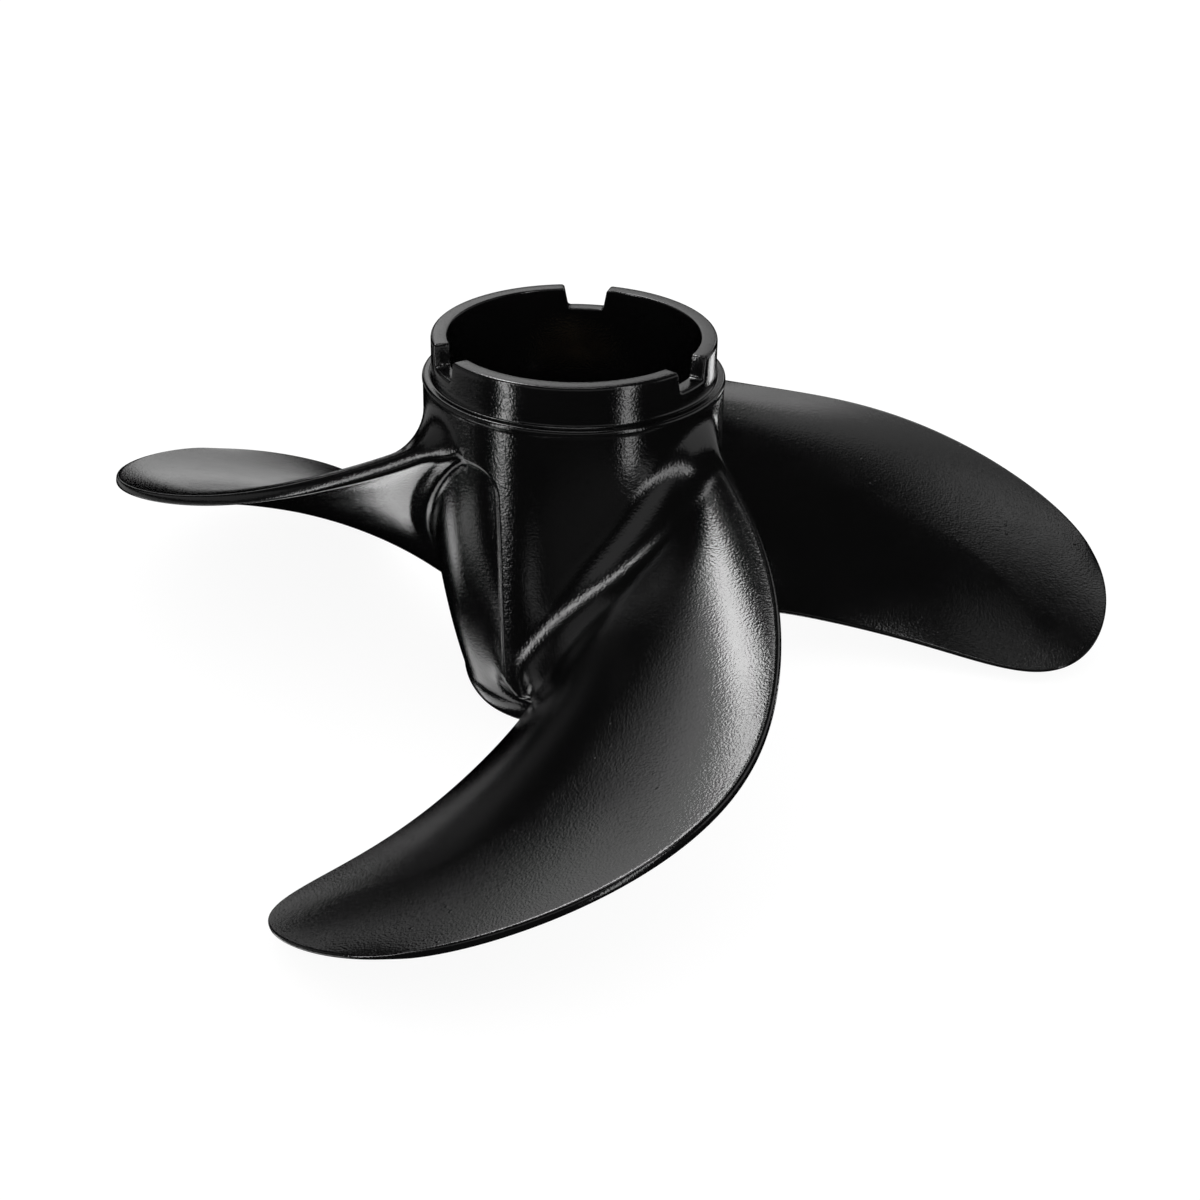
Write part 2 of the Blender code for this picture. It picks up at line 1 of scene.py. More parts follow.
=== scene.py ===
"""Looks of a small three-bladed outboard propeller: gloss black casting, rubber bushing, bronze sleeve.

Lengths are in metres. Depths are measured down the shaft axis from the notched forward rim, and heights
are depths with the sign changed until placed() lifts a mesh into the frame of the CAD model. Unrolled
lengths run round the hub, as an angle times a radius.
"""

import math
from collections import namedtuple

import bmesh
import bpy
import numpy as np
from mathutils import Matrix, Quaternion, Vector
from mathutils.geometry import delaunay_2d_cdt


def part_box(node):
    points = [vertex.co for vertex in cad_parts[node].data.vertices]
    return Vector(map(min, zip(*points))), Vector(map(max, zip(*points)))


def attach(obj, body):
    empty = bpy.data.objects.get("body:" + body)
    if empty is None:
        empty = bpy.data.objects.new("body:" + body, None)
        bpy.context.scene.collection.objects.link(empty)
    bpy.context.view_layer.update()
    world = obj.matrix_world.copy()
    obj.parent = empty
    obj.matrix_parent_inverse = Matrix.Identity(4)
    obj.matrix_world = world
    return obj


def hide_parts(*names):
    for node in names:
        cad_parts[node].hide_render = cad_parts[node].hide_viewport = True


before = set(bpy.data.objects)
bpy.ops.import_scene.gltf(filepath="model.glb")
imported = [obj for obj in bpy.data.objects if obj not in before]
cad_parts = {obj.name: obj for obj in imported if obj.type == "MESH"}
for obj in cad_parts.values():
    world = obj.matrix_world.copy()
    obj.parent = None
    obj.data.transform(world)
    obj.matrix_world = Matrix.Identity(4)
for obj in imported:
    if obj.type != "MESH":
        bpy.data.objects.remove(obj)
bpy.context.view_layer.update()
RIM_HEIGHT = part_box("propeller_casting")[1].z
FLOOR_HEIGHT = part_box("propeller_casting")[0].z

# Main sizes
PROP_RADIUS = 0.1175
BLADE_COUNT = 3
FULL_TURN = 2.0 * math.pi
QUARTER_TURN = 0.5 * math.pi
SECTOR = FULL_TURN / BLADE_COUNT

# Collar with its notched rim, and the ledge at its foot
COLLAR_RADIUS = 0.0274
COLLAR_BORE = 0.02425
COLLAR_MIDDLE = 0.5 * (COLLAR_RADIUS + COLLAR_BORE)
RIM_ROUND = 0.0006
BORE_ROUND = 0.0003
LEDGE_DEPTH = 0.0078
LEDGE_RADIUS = 0.0292
LEDGE_ROUND = 0.0006
LEDGE_BOTTOM = 0.0088
LEDGE_STEP = 0.00015
COLLAR_FILLET = 0.0006
COLLAR_FOOT = LEDGE_DEPTH - COLLAR_FILLET
COLLAR_WALL_BOTTOM = 0.0110

# Notches in the forward rim
NOTCH_ANGLE = math.radians(90.0)
NOTCH_WIDTH_TOP = 0.0089
NOTCH_WIDTH_FLOOR = 0.0073
NOTCH_DEPTH = 0.0042
NOTCH_CORNER = 0.0007

# Barrel
BARREL_RADIUS = 0.02905
BARREL_TOP = 0.0096
TAPER_START = 0.018
TAPER_START_RADIUS = 0.0281
TAPER_END = 0.0705
TAPER_END_RADIUS = 0.0218
TAPER_POWER = 2.4
AFT_ROUND = 0.0084
AFT_FACE_DEPTH = 0.0756

# Parting line between the two halves of the mould: angle in degrees and depth, blade 1 to blade 3
PARTING_ANGLES = (258.3, 340.8, 354.8, 362.2, 366.1, 367.5, 369.3, 371.8, 378.3)
PARTING_DEPTHS = (0.0663, 0.0174, 0.0170, 0.0180, 0.0206, 0.0235, 0.0610, 0.0632, 0.0663)
CORNER_CUTS = 3
LIP_DEPTH = 0.0012
LIP_WIDTH = 0.0013
FADE_LENGTH = 0.0050
FADE_POWER = 1.5
FADE_END_HEIGHT = 0.0060

# Blade laws along the radius, as fractions of the propeller radius; angles in degrees
STATIONS = (0.25, 0.46, 0.64, 0.82, 1.0)
MID_ANGLES = (300.5, 286.5, 276.8, 268.25, 262.2)
MID_DEPTHS = (0.0411, 0.0479, 0.0541, 0.0587, 0.0616)
CHORD_STATIONS = (0.25, 0.35, 0.50, 0.67, 0.84, 1.0)
HALF_CHORDS = (0.0323, 0.0320, 0.0360, 0.0424, 0.0521, 0.0483)
ROOT_STATION = 0.25
ROOT_RADIUS = ROOT_STATION * PROP_RADIUS
LEAST_STATION = 0.2
TIP_FULLNESS = 4
PITCH_ROOT = 0.2327
PITCH_TIP = 0.2134
CROWN_ROOT = 0.0052
CROWN_TIP = 0.0007
HOLLOW_ROOT = 0.0010
HOLLOW_TIP = 0.0007
SWELL_POWER = 1.5
NOSE_FULLNESS = 4.5
TAIL_HOLLOW = 0.4
EDGE_HALF_ROOT = 0.0018
EDGE_HALF_TIP = 0.0009
EDGE_POWER = 3
AFT_EDGE_SHARE = 0.48
EDGE_SQUARENESS = 3.2

# Blade root fillets; they change size beyond a share of the half chord
FILLET_FORWARD = 0.0075
FILLET_AFT = 0.0037
FILLET_LEADING = 0.0046
FILLET_TRAILING = 0.0020
FILLET_CHANGE = 0.75
FILLET_TOP = BARREL_RADIUS + FILLET_FORWARD

# Inside of the hub
CAVITY_DEPTH = 0.0270
BOSS_DEPTH = 0.0220
BOSS_RADIUS_TOP = 0.0138
BOSS_RADIUS_AFT = 0.0124
BOSS_BOTTOM = 0.0725
BOSS_ROUND = 0.0004
PASSAGE_TAPER_START = 0.0400
PASSAGE_TAPER_POWER = 1.5
PASSAGE_OUTER_AFT = 0.0172
MOUTH_ROUND = 0.0003
RIB_THICKNESS = 0.0045
RIB_ANGLE = math.radians(30.0)
RIB_BOTTOM = 0.0700
BUSHING_BORE = 0.0102

# Bushing
BUSHING_TOP = 0.0230
BUSHING_BOTTOM = 0.0700
BUSHING_ROUND = 0.0006
BUSHING_DISH = 0.0003
BUSHING_CLEARANCE = 0.00005

# Splined sleeve; the flank is a share of the pitch of the splines
SLEEVE_TOP = 0.0205
SLEEVE_BOTTOM = 0.0730
SLEEVE_RADIUS = 0.0074
SLEEVE_ROUND = 0.00025
SPLINE_MAJOR = 0.0064
SPLINE_MINOR = 0.0054
SPLINE_TEETH = 8
SPLINE_FLANK = 0.07
SPLINE_LEAD = 0.0008
SPLINE_LEAD_LENGTH = 0.0006
SLEEVE_ROWS_FROM = 0.0020

# The two tones that each finish is mixed from
PAINT_TONES = ((0.0022, 0.0022, 0.0023), (0.0036, 0.0036, 0.0037))
RUBBER_TONES = ((0.016, 0.016, 0.016), (0.035, 0.034, 0.032))
BRONZE_TONES = ((0.60, 0.45, 0.24), (0.34, 0.22, 0.11))

# Camera; angles in degrees, and the lens as a multiple of the sensor's width
CAMERA_AZIMUTH = 274.53
CAMERA_ELEVATION = 27.94
CAMERA_ROLL = 0.991
CAMERA_DISTANCE = 0.46262
CAMERA_TARGET = (0.0058, 0.0001, -0.0149)
SENSOR_WIDTH = 36.0
FOCAL_WIDTHS = 1.9039
NEAR_CLIP = 0.01

# World and floor
WHITE = (1.0, 1.0, 1.0, 1.0)
WORLD_STRENGTH = 1.05
FLOOR_REACH = 6.0
FLOOR_COLOUR = (0.12, 0.12, 0.12, 1.0)
FLOOR_ROUGHNESS = 0.9
FLOOR_SPECULAR = 0.1
FLOOR_GLOW = 0.92

# Softboxes: name, azimuth, elevation, roll, width and height in degrees, brightness
SOFTBOX_DISTANCE = 1.5
SOFTBOXES = (
    ("left_strip", 220.5, 7.5, 0.0, 6.5, 64.0, 9.0),
    ("right_strip", 318.0, 7.5, 0.0, 8.0, 65.0, 5.0),
    ("window", 138.0, 62.5, 12.0, 22.0, 12.0, 13.0),
    ("window_side", 157.0, 55.5, 0.0, 6.0, 6.0, 5.0),
    ("window_corner", 115.0, 50.5, 0.0, 6.0, 10.0, 9.0),
    ("skylight", 175.0, 77.0, 0.0, 10.0, 9.0, 1.5),
    ("ceiling", 275.0, 84.0, 0.0, 24.0, 9.0, 3.5),
    ("pale_wall", 121.5, 43.5, 41.0, 60.0, 25.0, 0.6),
    ("lit_wall", 123.0, 46.5, 41.0, 50.0, 20.0, 0.6),
    ("bright_wall", 123.5, 48.5, 41.0, 40.0, 16.0, 0.35),
    ("low_wall", 118.0, 13.0, 0.0, 7.0, 36.0, 0.5),
    ("right_window", 60.0, 50.0, 0.0, 7.0, 10.0, 1.1),
    ("right_wall", 65.0, 33.0, 0.0, 13.0, 20.0, 0.45),
    ("right_corner", 73.0, 20.0, 0.0, 12.0, 20.0, 1.0),
    ("right_ceiling", 55.0, 73.0, 0.0, 10.0, 7.0, 0.5),
    ("far_wall", 95.0, 22.0, 0.0, 20.0, 14.0, 0.7),
    ("backdrop", 102.0, -5.0, 0.0, 12.0, 16.0, 0.7),
    ("front_room", 272.0, 14.0, 0.0, 70.0, 24.0, 0.5),
    ("right_room", 18.0, 8.0, 0.0, 70.0, 34.0, 0.6),
    ("left_room", 175.0, 14.0, 0.0, 50.0, 24.0, 0.3),
    ("rear_spot", 88.0, 66.0, 0.0, 12.0, 5.0, 6.0),
    ("table_left", 182.0, -28.0, 0.0, 18.0, 4.5, 1.5),
    ("table_corner", 157.0, -29.5, 0.0, 12.0, 6.0, 2.2),
    ("table_front", 174.0, -48.5, 0.0, 58.0, 12.0, 1.4),
    ("left_dusk", 162.0, -15.0, 0.0, 75.0, 14.0, 0.3),
    ("table_below", 103.0, -68.0, 0.0, 24.0, 22.0, 2.2),
    ("table_near", 95.0, -53.0, 0.0, 8.0, 9.0, 2.0),
    ("table_right", 60.0, -20.0, 0.0, 12.0, 8.0, 3.0),
)

# Mesh density of a blade
OUTLINE_POINTS = 200
SPAN_SAMPLES = 400
EDGE_COLUMNS = 8
FACE_COLUMNS = 26
FACE_SPACING = 1.5
FILLET_ROWS = 10
FILLET_PASSES = 6
SPAN_ROWS = 90
BLEND_ROWS = 12
FAN_LENGTH = 0.022
PROBE_LENGTH = 0.0005

# Mesh density of the barrel; points follow the parting line at shares of the lip's width, first ones first
SECTOR_POINTS = 72
GRID_STEP = 0.0011
SEAM_FINENESS = 4
LINE_STEP = 0.00045
LINE_SHARES = (-0.5, 0.0, -1.0, 0.35, -1.4, -0.25, -0.75)
LEAST_SPACING = 0.0003
LINE_BATCHES = 40

# Mesh density of the rim, the inside and the small parts
NOTCH_CORNER_POINTS = 7
NOTCH_FLOOR_POINTS = 5
RIM_POINTS_BEFORE = 24
RIM_POINTS_AFTER = 36
WALL_CLEARANCE = 0.45 * GRID_STEP
STEP_ARCS = 3
ROUND_ARCS = 5
BOSS_ARCS = 4
AFT_ARCS = 12
CAVITY_ROWS = 10
BOSS_TOP_ROWS = 5
BOSS_BORE_ROWS = 12
PASSAGE_ROWS = 26
MOUTH_ROWS = 5
RIB_POINTS = 9
RIB_STEPS = 8
PASSAGE_POINTS = 41
BUSHING_POINTS = 120
SLEEVE_POINTS = 320
SLEEVE_ROWS = 10

# Tolerances, and settings of the triangulation
LEAST_SQUARE = 1e-18
ANGLE_SLACK = 1e-9
KEYS_PER_METRE = 1e7
WELD_DISTANCE = 2e-7
MILLIMETRES = 1000.0
INSIDE_BORDER = 1
CROSSING_TOLERANCE = 1e-6

BladeLaws = namedtuple("BladeLaws", "angle height pitch width half_chord edge crown hollow")


def polynomial(stations, values, place):
    """Smooth curve through a few stations."""
    return np.polyval(np.polyfit(stations, values, len(stations) - 1), place)


def smooth_share(share):
    """Eases from 0 to 1 with level ends, and stays there on both sides."""
    share = np.clip(share, 0.0, 1.0)
    return share * share * (3.0 - 2.0 * share)


def cylinder_point(radius, angle, z):
    """Points at a radius, an angle about the shaft axis and a height."""
    return np.stack([radius * np.cos(angle), radius * np.sin(angle), z + 0.0 * angle], -1)


def turned(points, angle):
    """Points turned about the shaft axis."""
    cosine, sine = math.cos(angle), math.sin(angle)
    return points @ np.array([[cosine, sine, 0.0], [-sine, cosine, 0.0], [0.0, 0.0, 1.0]])


def chain_lengths(chain):
    """Length along a chain of points up to each of them."""
    return np.concatenate([[0.0], np.cumsum(np.linalg.norm(np.diff(chain, axis=0), axis=1))])


def segment_distance(points, line):
    """Distance of each point from an open chain of points."""
    start, step = line[:-1], line[1:] - line[:-1]
    length = np.maximum((step * step).sum(-1), LEAST_SQUARE)
    share = ((points[..., None, :] - start) * step).sum(-1) / length
    nearest = start + np.clip(share, 0.0, 1.0)[..., None] * step
    return np.linalg.norm(points[..., None, :] - nearest, axis=-1).min(-1)


def lower_radius(z):
    """Barrel radius left by the aft half of the mould at a height."""
    share = np.clip((-z - TAPER_START) / (TAPER_END - TAPER_START), 0.0, 1.0)
    return TAPER_START_RADIUS + (TAPER_END_RADIUS - TAPER_START_RADIUS) * share ** TAPER_POWER


def parting_curve():
    """Parting line in unrolled lengths over two turns, with its corners cut until they are round."""
    angles = np.radians(PARTING_ANGLES)
    heights = -np.array(PARTING_DEPTHS)
    starts = [sector * SECTOR for sector in range(-BLADE_COUNT, BLADE_COUNT)]
    line = np.concatenate([
        np.stack([(angles + start) * BARREL_RADIUS, heights], -1)[:-1] for start in starts
    ])
    for _ in range(CORNER_CUTS):
        near = 0.75 * line[:-1] + 0.25 * line[1:]
        far = 0.25 * line[:-1] + 0.75 * line[1:]
        line = np.stack([near, far], 1).reshape(-1, 2)
    return line


PARTING_LINE = parting_curve()


def parting_distance(angle, z):
    """Signed distance from the parting line, positive on the forward half of the mould."""
    points = np.stack([angle * BARREL_RADIUS, z], -1)
    batches = np.array_split(points, LINE_BATCHES)
    distance = np.concatenate([segment_distance(batch, PARTING_LINE) for batch in batches])
    above = z > np.interp(points[:, 0], PARTING_LINE[:, 0], PARTING_LINE[:, 1])
    return np.where(above, distance, -distance)


def hub_radius(angle, z):
    """Outer radius of the barrel, with the lip at the parting line and the hollow below it."""
    below = np.maximum(-parting_distance(angle, z), 0.0)
    lip = LIP_DEPTH * smooth_share(below / LIP_WIDTH)
    hollow = BARREL_RADIUS - LIP_DEPTH - lower_radius(z)
    fade = 1.0 - np.exp(-((below / FADE_LENGTH) ** FADE_POWER))
    settled = smooth_share((-z - (TAPER_END - FADE_END_HEIGHT)) / FADE_END_HEIGHT)
    fade = fade + (1.0 - fade) * settled
    lip = lip + (LIP_DEPTH - lip) * settled
    return BARREL_RADIUS - lip - hollow * fade


def blade_laws(radius):
    """Sizes of the blade's section at a radius."""
    station = np.clip(radius / PROP_RADIUS, LEAST_STATION, 1.0)
    share = np.clip((station - ROOT_STATION) / (1.0 - ROOT_STATION), 0.0, 1.0)
    width = polynomial(CHORD_STATIONS, HALF_CHORDS, station)
    return BladeLaws(
        angle=np.radians(polynomial(STATIONS, MID_ANGLES, station)),
        height=-polynomial(STATIONS, MID_DEPTHS, station),
        pitch=PITCH_ROOT + (PITCH_TIP - PITCH_ROOT) * share,
        width=width,
        half_chord=width * np.sqrt(1.0 - share ** TIP_FULLNESS),
        edge=EDGE_HALF_TIP + (EDGE_HALF_ROOT - EDGE_HALF_TIP) * (1.0 - share) ** EDGE_POWER,
        crown=CROWN_TIP + (CROWN_ROOT - CROWN_TIP) * (1.0 - share) ** SWELL_POWER,
        hollow=HOLLOW_TIP + (HOLLOW_ROOT - HOLLOW_TIP) * (1.0 - share) ** SWELL_POWER,
    )


def mid_surface(radius, across):
    """Angle and height of the blade's middle surface, at a length across from its mid-line."""
    laws = blade_laws(radius)
    rise = laws.pitch / FULL_TURN
    turn = across / np.sqrt(radius ** 2 + rise ** 2)
    return laws.angle + turn, laws.height + rise * turn


def outline_curve():
    """Edge of the blade's middle surface, forward edge then aft edge."""
    share = np.linspace(0.0, 1.0, OUTLINE_POINTS)
    radius = PROP_RADIUS * (1.0 - (1.0 - LEAST_STATION) * (1.0 - share) ** 2)
    half_chord = blade_laws(radius).half_chord
    forward = cylinder_point(radius, *mid_surface(radius, half_chord))
    aft = cylinder_point(radius, *mid_surface(radius, -half_chord))
    return np.concatenate([forward, aft[::-1]])


OUTLINE = outline_curve()


def edge_distance(radius, across):
    """Distance of points of the middle surface from the blade's outline."""
    return segment_distance(cylinder_point(radius, *mid_surface(radius, across)), OUTLINE)


def forward_share(across, laws):
    """Place across the blade, from 0 at the aft edge to 1 at the forward edge."""
    return smooth_share(0.5 + 0.5 * across / np.maximum(laws.half_chord, laws.edge))


def edge_size(forward, laws):
    """Half thickness of the rounded edge, which is thinner aft."""
    return laws.edge * (AFT_EDGE_SHARE + (1.0 - AFT_EDGE_SHARE) * forward)


def skin_point(radius, across, side):
    """Angle and height of a point of the blade's skin; inside the root it goes straight in.

    The side is 1 on the forward face, -1 on the aft face and 0 on the edge.
    """
    radius = np.maximum(radius, ROOT_RADIUS)
    laws = blade_laws(radius)
    angle, z = mid_surface(radius, across)
    distance = edge_distance(radius, across)
    forward = forward_share(across, laws)
    edge = edge_size(forward, laws)
    inside = np.clip(1.0 - distance / edge, 0.0, 1.0)
    rounding = edge * (1.0 - inside ** EDGE_SQUARENESS) ** (1.0 / EDGE_SQUARENESS)
    depth = np.clip(distance / laws.width, 0.0, 1.0)
    nose = 1.0 - (1.0 - depth) ** NOSE_FULLNESS
    tail = 1.0 - (1.0 - depth) ** 2
    tail = tail + TAIL_HOLLOW * (smooth_share(depth) - tail)
    swell = tail + (nose - tail) * forward
    offset = side * rounding + np.where(side >= 0.0, laws.crown, laws.hollow) * swell
    rise = laws.pitch / FULL_TURN
    slant = np.sqrt(radius ** 2 + rise ** 2)
    return angle - offset * rise / slant / radius, z + offset * radius / slant


def chord_point(radius, chord, side):
    """Skin point at a share of the half chord."""
    half_chord = blade_laws(np.maximum(radius, ROOT_RADIUS)).half_chord
    return skin_point(radius, chord * half_chord, side)


def section_columns(edge_radius, middle_radius, end):
    """Radius and length across of the points from the mid-line out to one edge.

    The end is 1 at the forward edge and -1 at the aft edge.
    """
    laws = blade_laws(edge_radius)
    start = np.array([end * laws.half_chord, edge_radius])
    step = np.array([0.0, middle_radius]) - start
    length = np.linalg.norm(step)
    probe = start + step / length * PROBE_LENGTH
    slope = edge_distance(probe[1:], probe[:1])[0] / PROBE_LENGTH
    edge = edge_size(forward_share(end * laws.half_chord, laws), laws)
    swing = np.linspace(0.0, QUARTER_TURN, EDGE_COLUMNS + 1)
    near = edge * (1.0 - np.cos(swing) ** (2.0 / EDGE_SQUARENESS)) / slope
    near = np.minimum(near, 0.5 * length * swing / swing[-1])
    share = np.linspace(0.0, 1.0, FACE_COLUMNS + 1)[1:] ** FACE_SPACING
    along = np.concatenate([near, near[-1] + (length - near[-1]) * share])[::-1]
    track = start + step / length * along[:, None]
    return track[:, 1], track[:, 0]


def section_loop(edge_radius, middle_radius):
    """Radius, length across and side of a closed loop round the blade's section."""
    forward = section_columns(edge_radius, middle_radius, 1.0)
    aft = section_columns(edge_radius, middle_radius, -1.0)
    radius, across = (
        np.concatenate([front, front[-2::-1], back[1:], back[-2:0:-1]]) for front, back in zip(forward, aft)
    )
    count = EDGE_COLUMNS + FACE_COLUMNS
    side = np.concatenate([np.ones(count), [0.0], -np.ones(2 * count - 1), [0.0], np.ones(count - 1)])
    return radius, across, side


def outward_normals(loop):
    """Unit normals of a closed flat loop, pointing out of it."""
    tangent = np.roll(loop, -1, 0) - np.roll(loop, 1, 0)
    normal = np.stack([tangent[:, 1], -tangent[:, 0]], -1)
    area = np.sum(loop[:, 0] * np.roll(loop[:, 1], -1) - np.roll(loop[:, 0], -1) * loop[:, 1])
    return normal / np.linalg.norm(normal, axis=1)[:, None] * math.copysign(1.0, area)


def fillet_sizes(chord, side):
    """Fillet radius round the blade's root, largest on the forward face and least at the trailing edge."""
    body = np.where(side > 0.0, FILLET_FORWARD, FILLET_AFT)
    nose = np.clip((chord - FILLET_CHANGE) / (1.0 - FILLET_CHANGE), 0.0, 1.0) ** 2
    tail = np.clip((-chord - FILLET_CHANGE) / (1.0 - FILLET_CHANGE), 0.0, 1.0) ** 2
    return body + (FILLET_LEADING - body) * nose + (FILLET_TRAILING - body) * tail


def fillet_rows():
    """Rows of points up the root fillet, from the barrel to the blade, and the radii of the last row."""
    radius, across, side = section_loop(FILLET_TOP, FILLET_TOP)
    chord = across / blade_laws(FILLET_TOP).half_chord
    angle, z = skin_point(radius, across, side)
    outward = outward_normals(np.stack([angle * FILLET_TOP, z], -1))
    fillet = fillet_sizes(chord, side)
    rows = []
    for step in range(FILLET_ROWS + 1):
        swing = QUARTER_TURN * step / FILLET_ROWS
        climb, spread = 1.0 - math.cos(swing), 1.0 - math.sin(swing)
        radius = BARREL_RADIUS + climb * fillet
        for _ in range(FILLET_PASSES):
            angle, z = chord_point(radius, chord, side)
            angle = angle + outward[:, 0] * spread * fillet / BARREL_RADIUS
            z = z + outward[:, 1] * spread * fillet
            radius = hub_radius(angle, z) + climb * fillet
        rows.append(cylinder_point(radius, angle, z))
    return rows, radius


def outline_radii():
    """Radii of the rows above the fillet, an even length apart along the forward edge."""
    radius = PROP_RADIUS - (PROP_RADIUS - FILLET_TOP) * np.linspace(1.0, 0.0, SPAN_SAMPLES) ** 2
    edge = cylinder_point(radius, *mid_surface(radius, blade_laws(radius).half_chord))
    lengths = chain_lengths(edge)
    return np.interp(np.linspace(0.0, lengths[-1], SPAN_ROWS + 1), lengths, radius)


def blade_grid():
    """Rows of points from the hub to the tip; each row is a closed loop round the section."""
    rows, fillet_end = fillet_rows()
    for step, edge_radius in enumerate(outline_radii()[1:]):
        share = (edge_radius - FILLET_TOP) / (PROP_RADIUS - FILLET_TOP)
        radius, across, side = section_loop(edge_radius, edge_radius - FAN_LENGTH * share ** 2)
        blend = max(0.0, 1.0 - (step + 1) / BLEND_ROWS) ** 2
        if blend > 0.0:
            chord = across / blade_laws(radius).half_chord
            radius = radius + (fillet_end - FILLET_TOP) * blend
            rows.append(cylinder_point(radius, *chord_point(radius, chord, side)))
        else:
            rows.append(cylinder_point(radius, *skin_point(radius, across, side)))
    return np.array(rows)


def inside_polygon(points, polygon):
    """Even-odd test of flat points against a closed polygon."""
    inside = np.zeros(len(points), bool)
    x, y = points[:, 0], points[:, 1]
    for (start_x, start_y), (end_x, end_y) in zip(polygon, np.roll(polygon, -1, 0)):
        if start_y != end_y:
            crosses = (start_y > y) != (end_y > y)
            inside ^= crosses & (x < start_x + (y - start_y) * (end_x - start_x) / (end_y - start_y))
    return inside


def thinned(points, least):
    """Drops points that lie closer than a least distance to one that was kept."""
    cells, kept = {}, []
    around = [(i, j) for i in (-1, 0, 1) for j in (-1, 0, 1)]
    for point in points:
        column, row = int(point[0] // least), int(point[1] // least)
        near = [other for i, j in around for other in cells.get((column + i, row + j), ())]
        if all((other[0] - point[0]) ** 2 + (other[1] - point[1]) ** 2 > least ** 2 for other in near):
            cells.setdefault((column, row), []).append(point)
            kept.append(point)
    return np.array(kept)


def patch(border, hole, inner, clearance):
    """Triangles over a flat region with an optional hole; returns the points and the triangles."""
    loops = [border] if hole is None else [border, hole]
    keep = inside_polygon(inner, border)
    edges, first = [], 0
    for loop in loops:
        keep &= segment_distance(inner, np.concatenate([loop, loop[:1]])) > clearance
        edges += [(first + i, first + (i + 1) % len(loop)) for i in range(len(loop))]
        first += len(loop)
    if hole is not None:
        keep &= ~inside_polygon(inner, hole)
    flat = np.concatenate(loops + [inner[keep]])
    scaled = [Vector(point * MILLIMETRES) for point in flat]
    points, _, faces, origins, *_ = delaunay_2d_cdt(scaled, edges, [], INSIDE_BORDER, CROSSING_TOLERANCE)
    if len(points) != len(flat):
        raise RuntimeError("a patch border crosses itself")
    triangles = np.array([[origins[corner][0] for corner in face] for face in faces])
    if hole is not None:
        triangles = triangles[~inside_polygon(flat[triangles].mean(1), hole)]
    return flat, triangles


def seam_angle(z):
    """The seam between two sectors runs along the slope of the blade roots."""
    slope = (PARTING_ANGLES[1] - PARTING_ANGLES[0]) / (PARTING_DEPTHS[0] - PARTING_DEPTHS[1])
    middle = 0.5 * (PARTING_DEPTHS[0] + PARTING_DEPTHS[1])
    centre = 0.5 * (PARTING_ANGLES[0] + PARTING_ANGLES[1])
    return np.radians(centre + slope * (z + middle)) - 0.5 * SECTOR


def sector_angles(start):
    """Angles of the ring points over one sector, with both seams."""
    return start + SECTOR * np.arange(SECTOR_POINTS + 1) / SECTOR_POINTS


def sector_strip(z):
    """Unrolled points across one sector of the barrel at a height."""
    turn = sector_angles(seam_angle(z))
    return np.stack([turn * BARREL_RADIUS, np.full(len(turn), z)], -1)


def barrel_border(levels):
    """Border of one sector of the barrel, in unrolled lengths, with fine points along its seams."""
    seam = np.linspace(levels[0], levels[-1], SEAM_FINENESS * (len(levels) - 1) + 1)[1:-1]
    strips = [sector_strip(z) for z in seam]
    left = np.array([strip[0] for strip in strips])
    right = np.array([strip[-1] for strip in strips])
    return np.concatenate([sector_strip(levels[0]), right, sector_strip(levels[-1])[::-1], left[::-1]])


def line_followers():
    """Points beside the parting line, so that the lip is crisp."""
    lengths = chain_lengths(PARTING_LINE)
    along = np.arange(0.0, lengths[-1], LINE_STEP)
    track = np.stack([np.interp(along, lengths, PARTING_LINE[:, i]) for i in (0, 1)], -1)
    heading = np.gradient(track, axis=0)
    heading /= np.linalg.norm(heading, axis=1)[:, None]
    left = np.stack([-heading[:, 1], heading[:, 0]], -1)
    return np.concatenate([track + left * (share * LIP_WIDTH) for share in LINE_SHARES])


def staggered_points(levels):
    """Unrolled points over one sector, every second row shifted by half a step."""
    rows = []
    count = int(SECTOR * BARREL_RADIUS / GRID_STEP)
    for row, z in enumerate(levels[1:-1]):
        share = (np.arange(1, count) + 0.5 * (row % 2)) / count
        turn = seam_angle(z) + SECTOR * share
        rows.append(np.stack([turn * BARREL_RADIUS, np.full(len(turn), z)], -1))
    return np.concatenate(rows)


def barrel_sector(footprint):
    """Points and triangles of one sector of the barrel round a blade's footprint."""
    angle = np.unwrap(np.arctan2(footprint[:, 1], footprint[:, 0]) % FULL_TURN)
    hole = np.stack([angle * BARREL_RADIUS, footprint[:, 2]], -1)
    levels = np.linspace(-BARREL_TOP, -TAPER_END, int((TAPER_END - BARREL_TOP) / GRID_STEP) + 1)
    border = barrel_border(levels)
    inner = thinned(np.concatenate([line_followers(), staggered_points(levels)]), LEAST_SPACING)
    flat, triangles = patch(border, hole, inner, LEAST_SPACING)
    turn, z = flat[:, 0] / BARREL_RADIUS, flat[:, 1]
    skin = cylinder_point(hub_radius(turn, z), turn, z)
    skin[len(border):len(border) + len(hole)] = footprint
    return skin, triangles


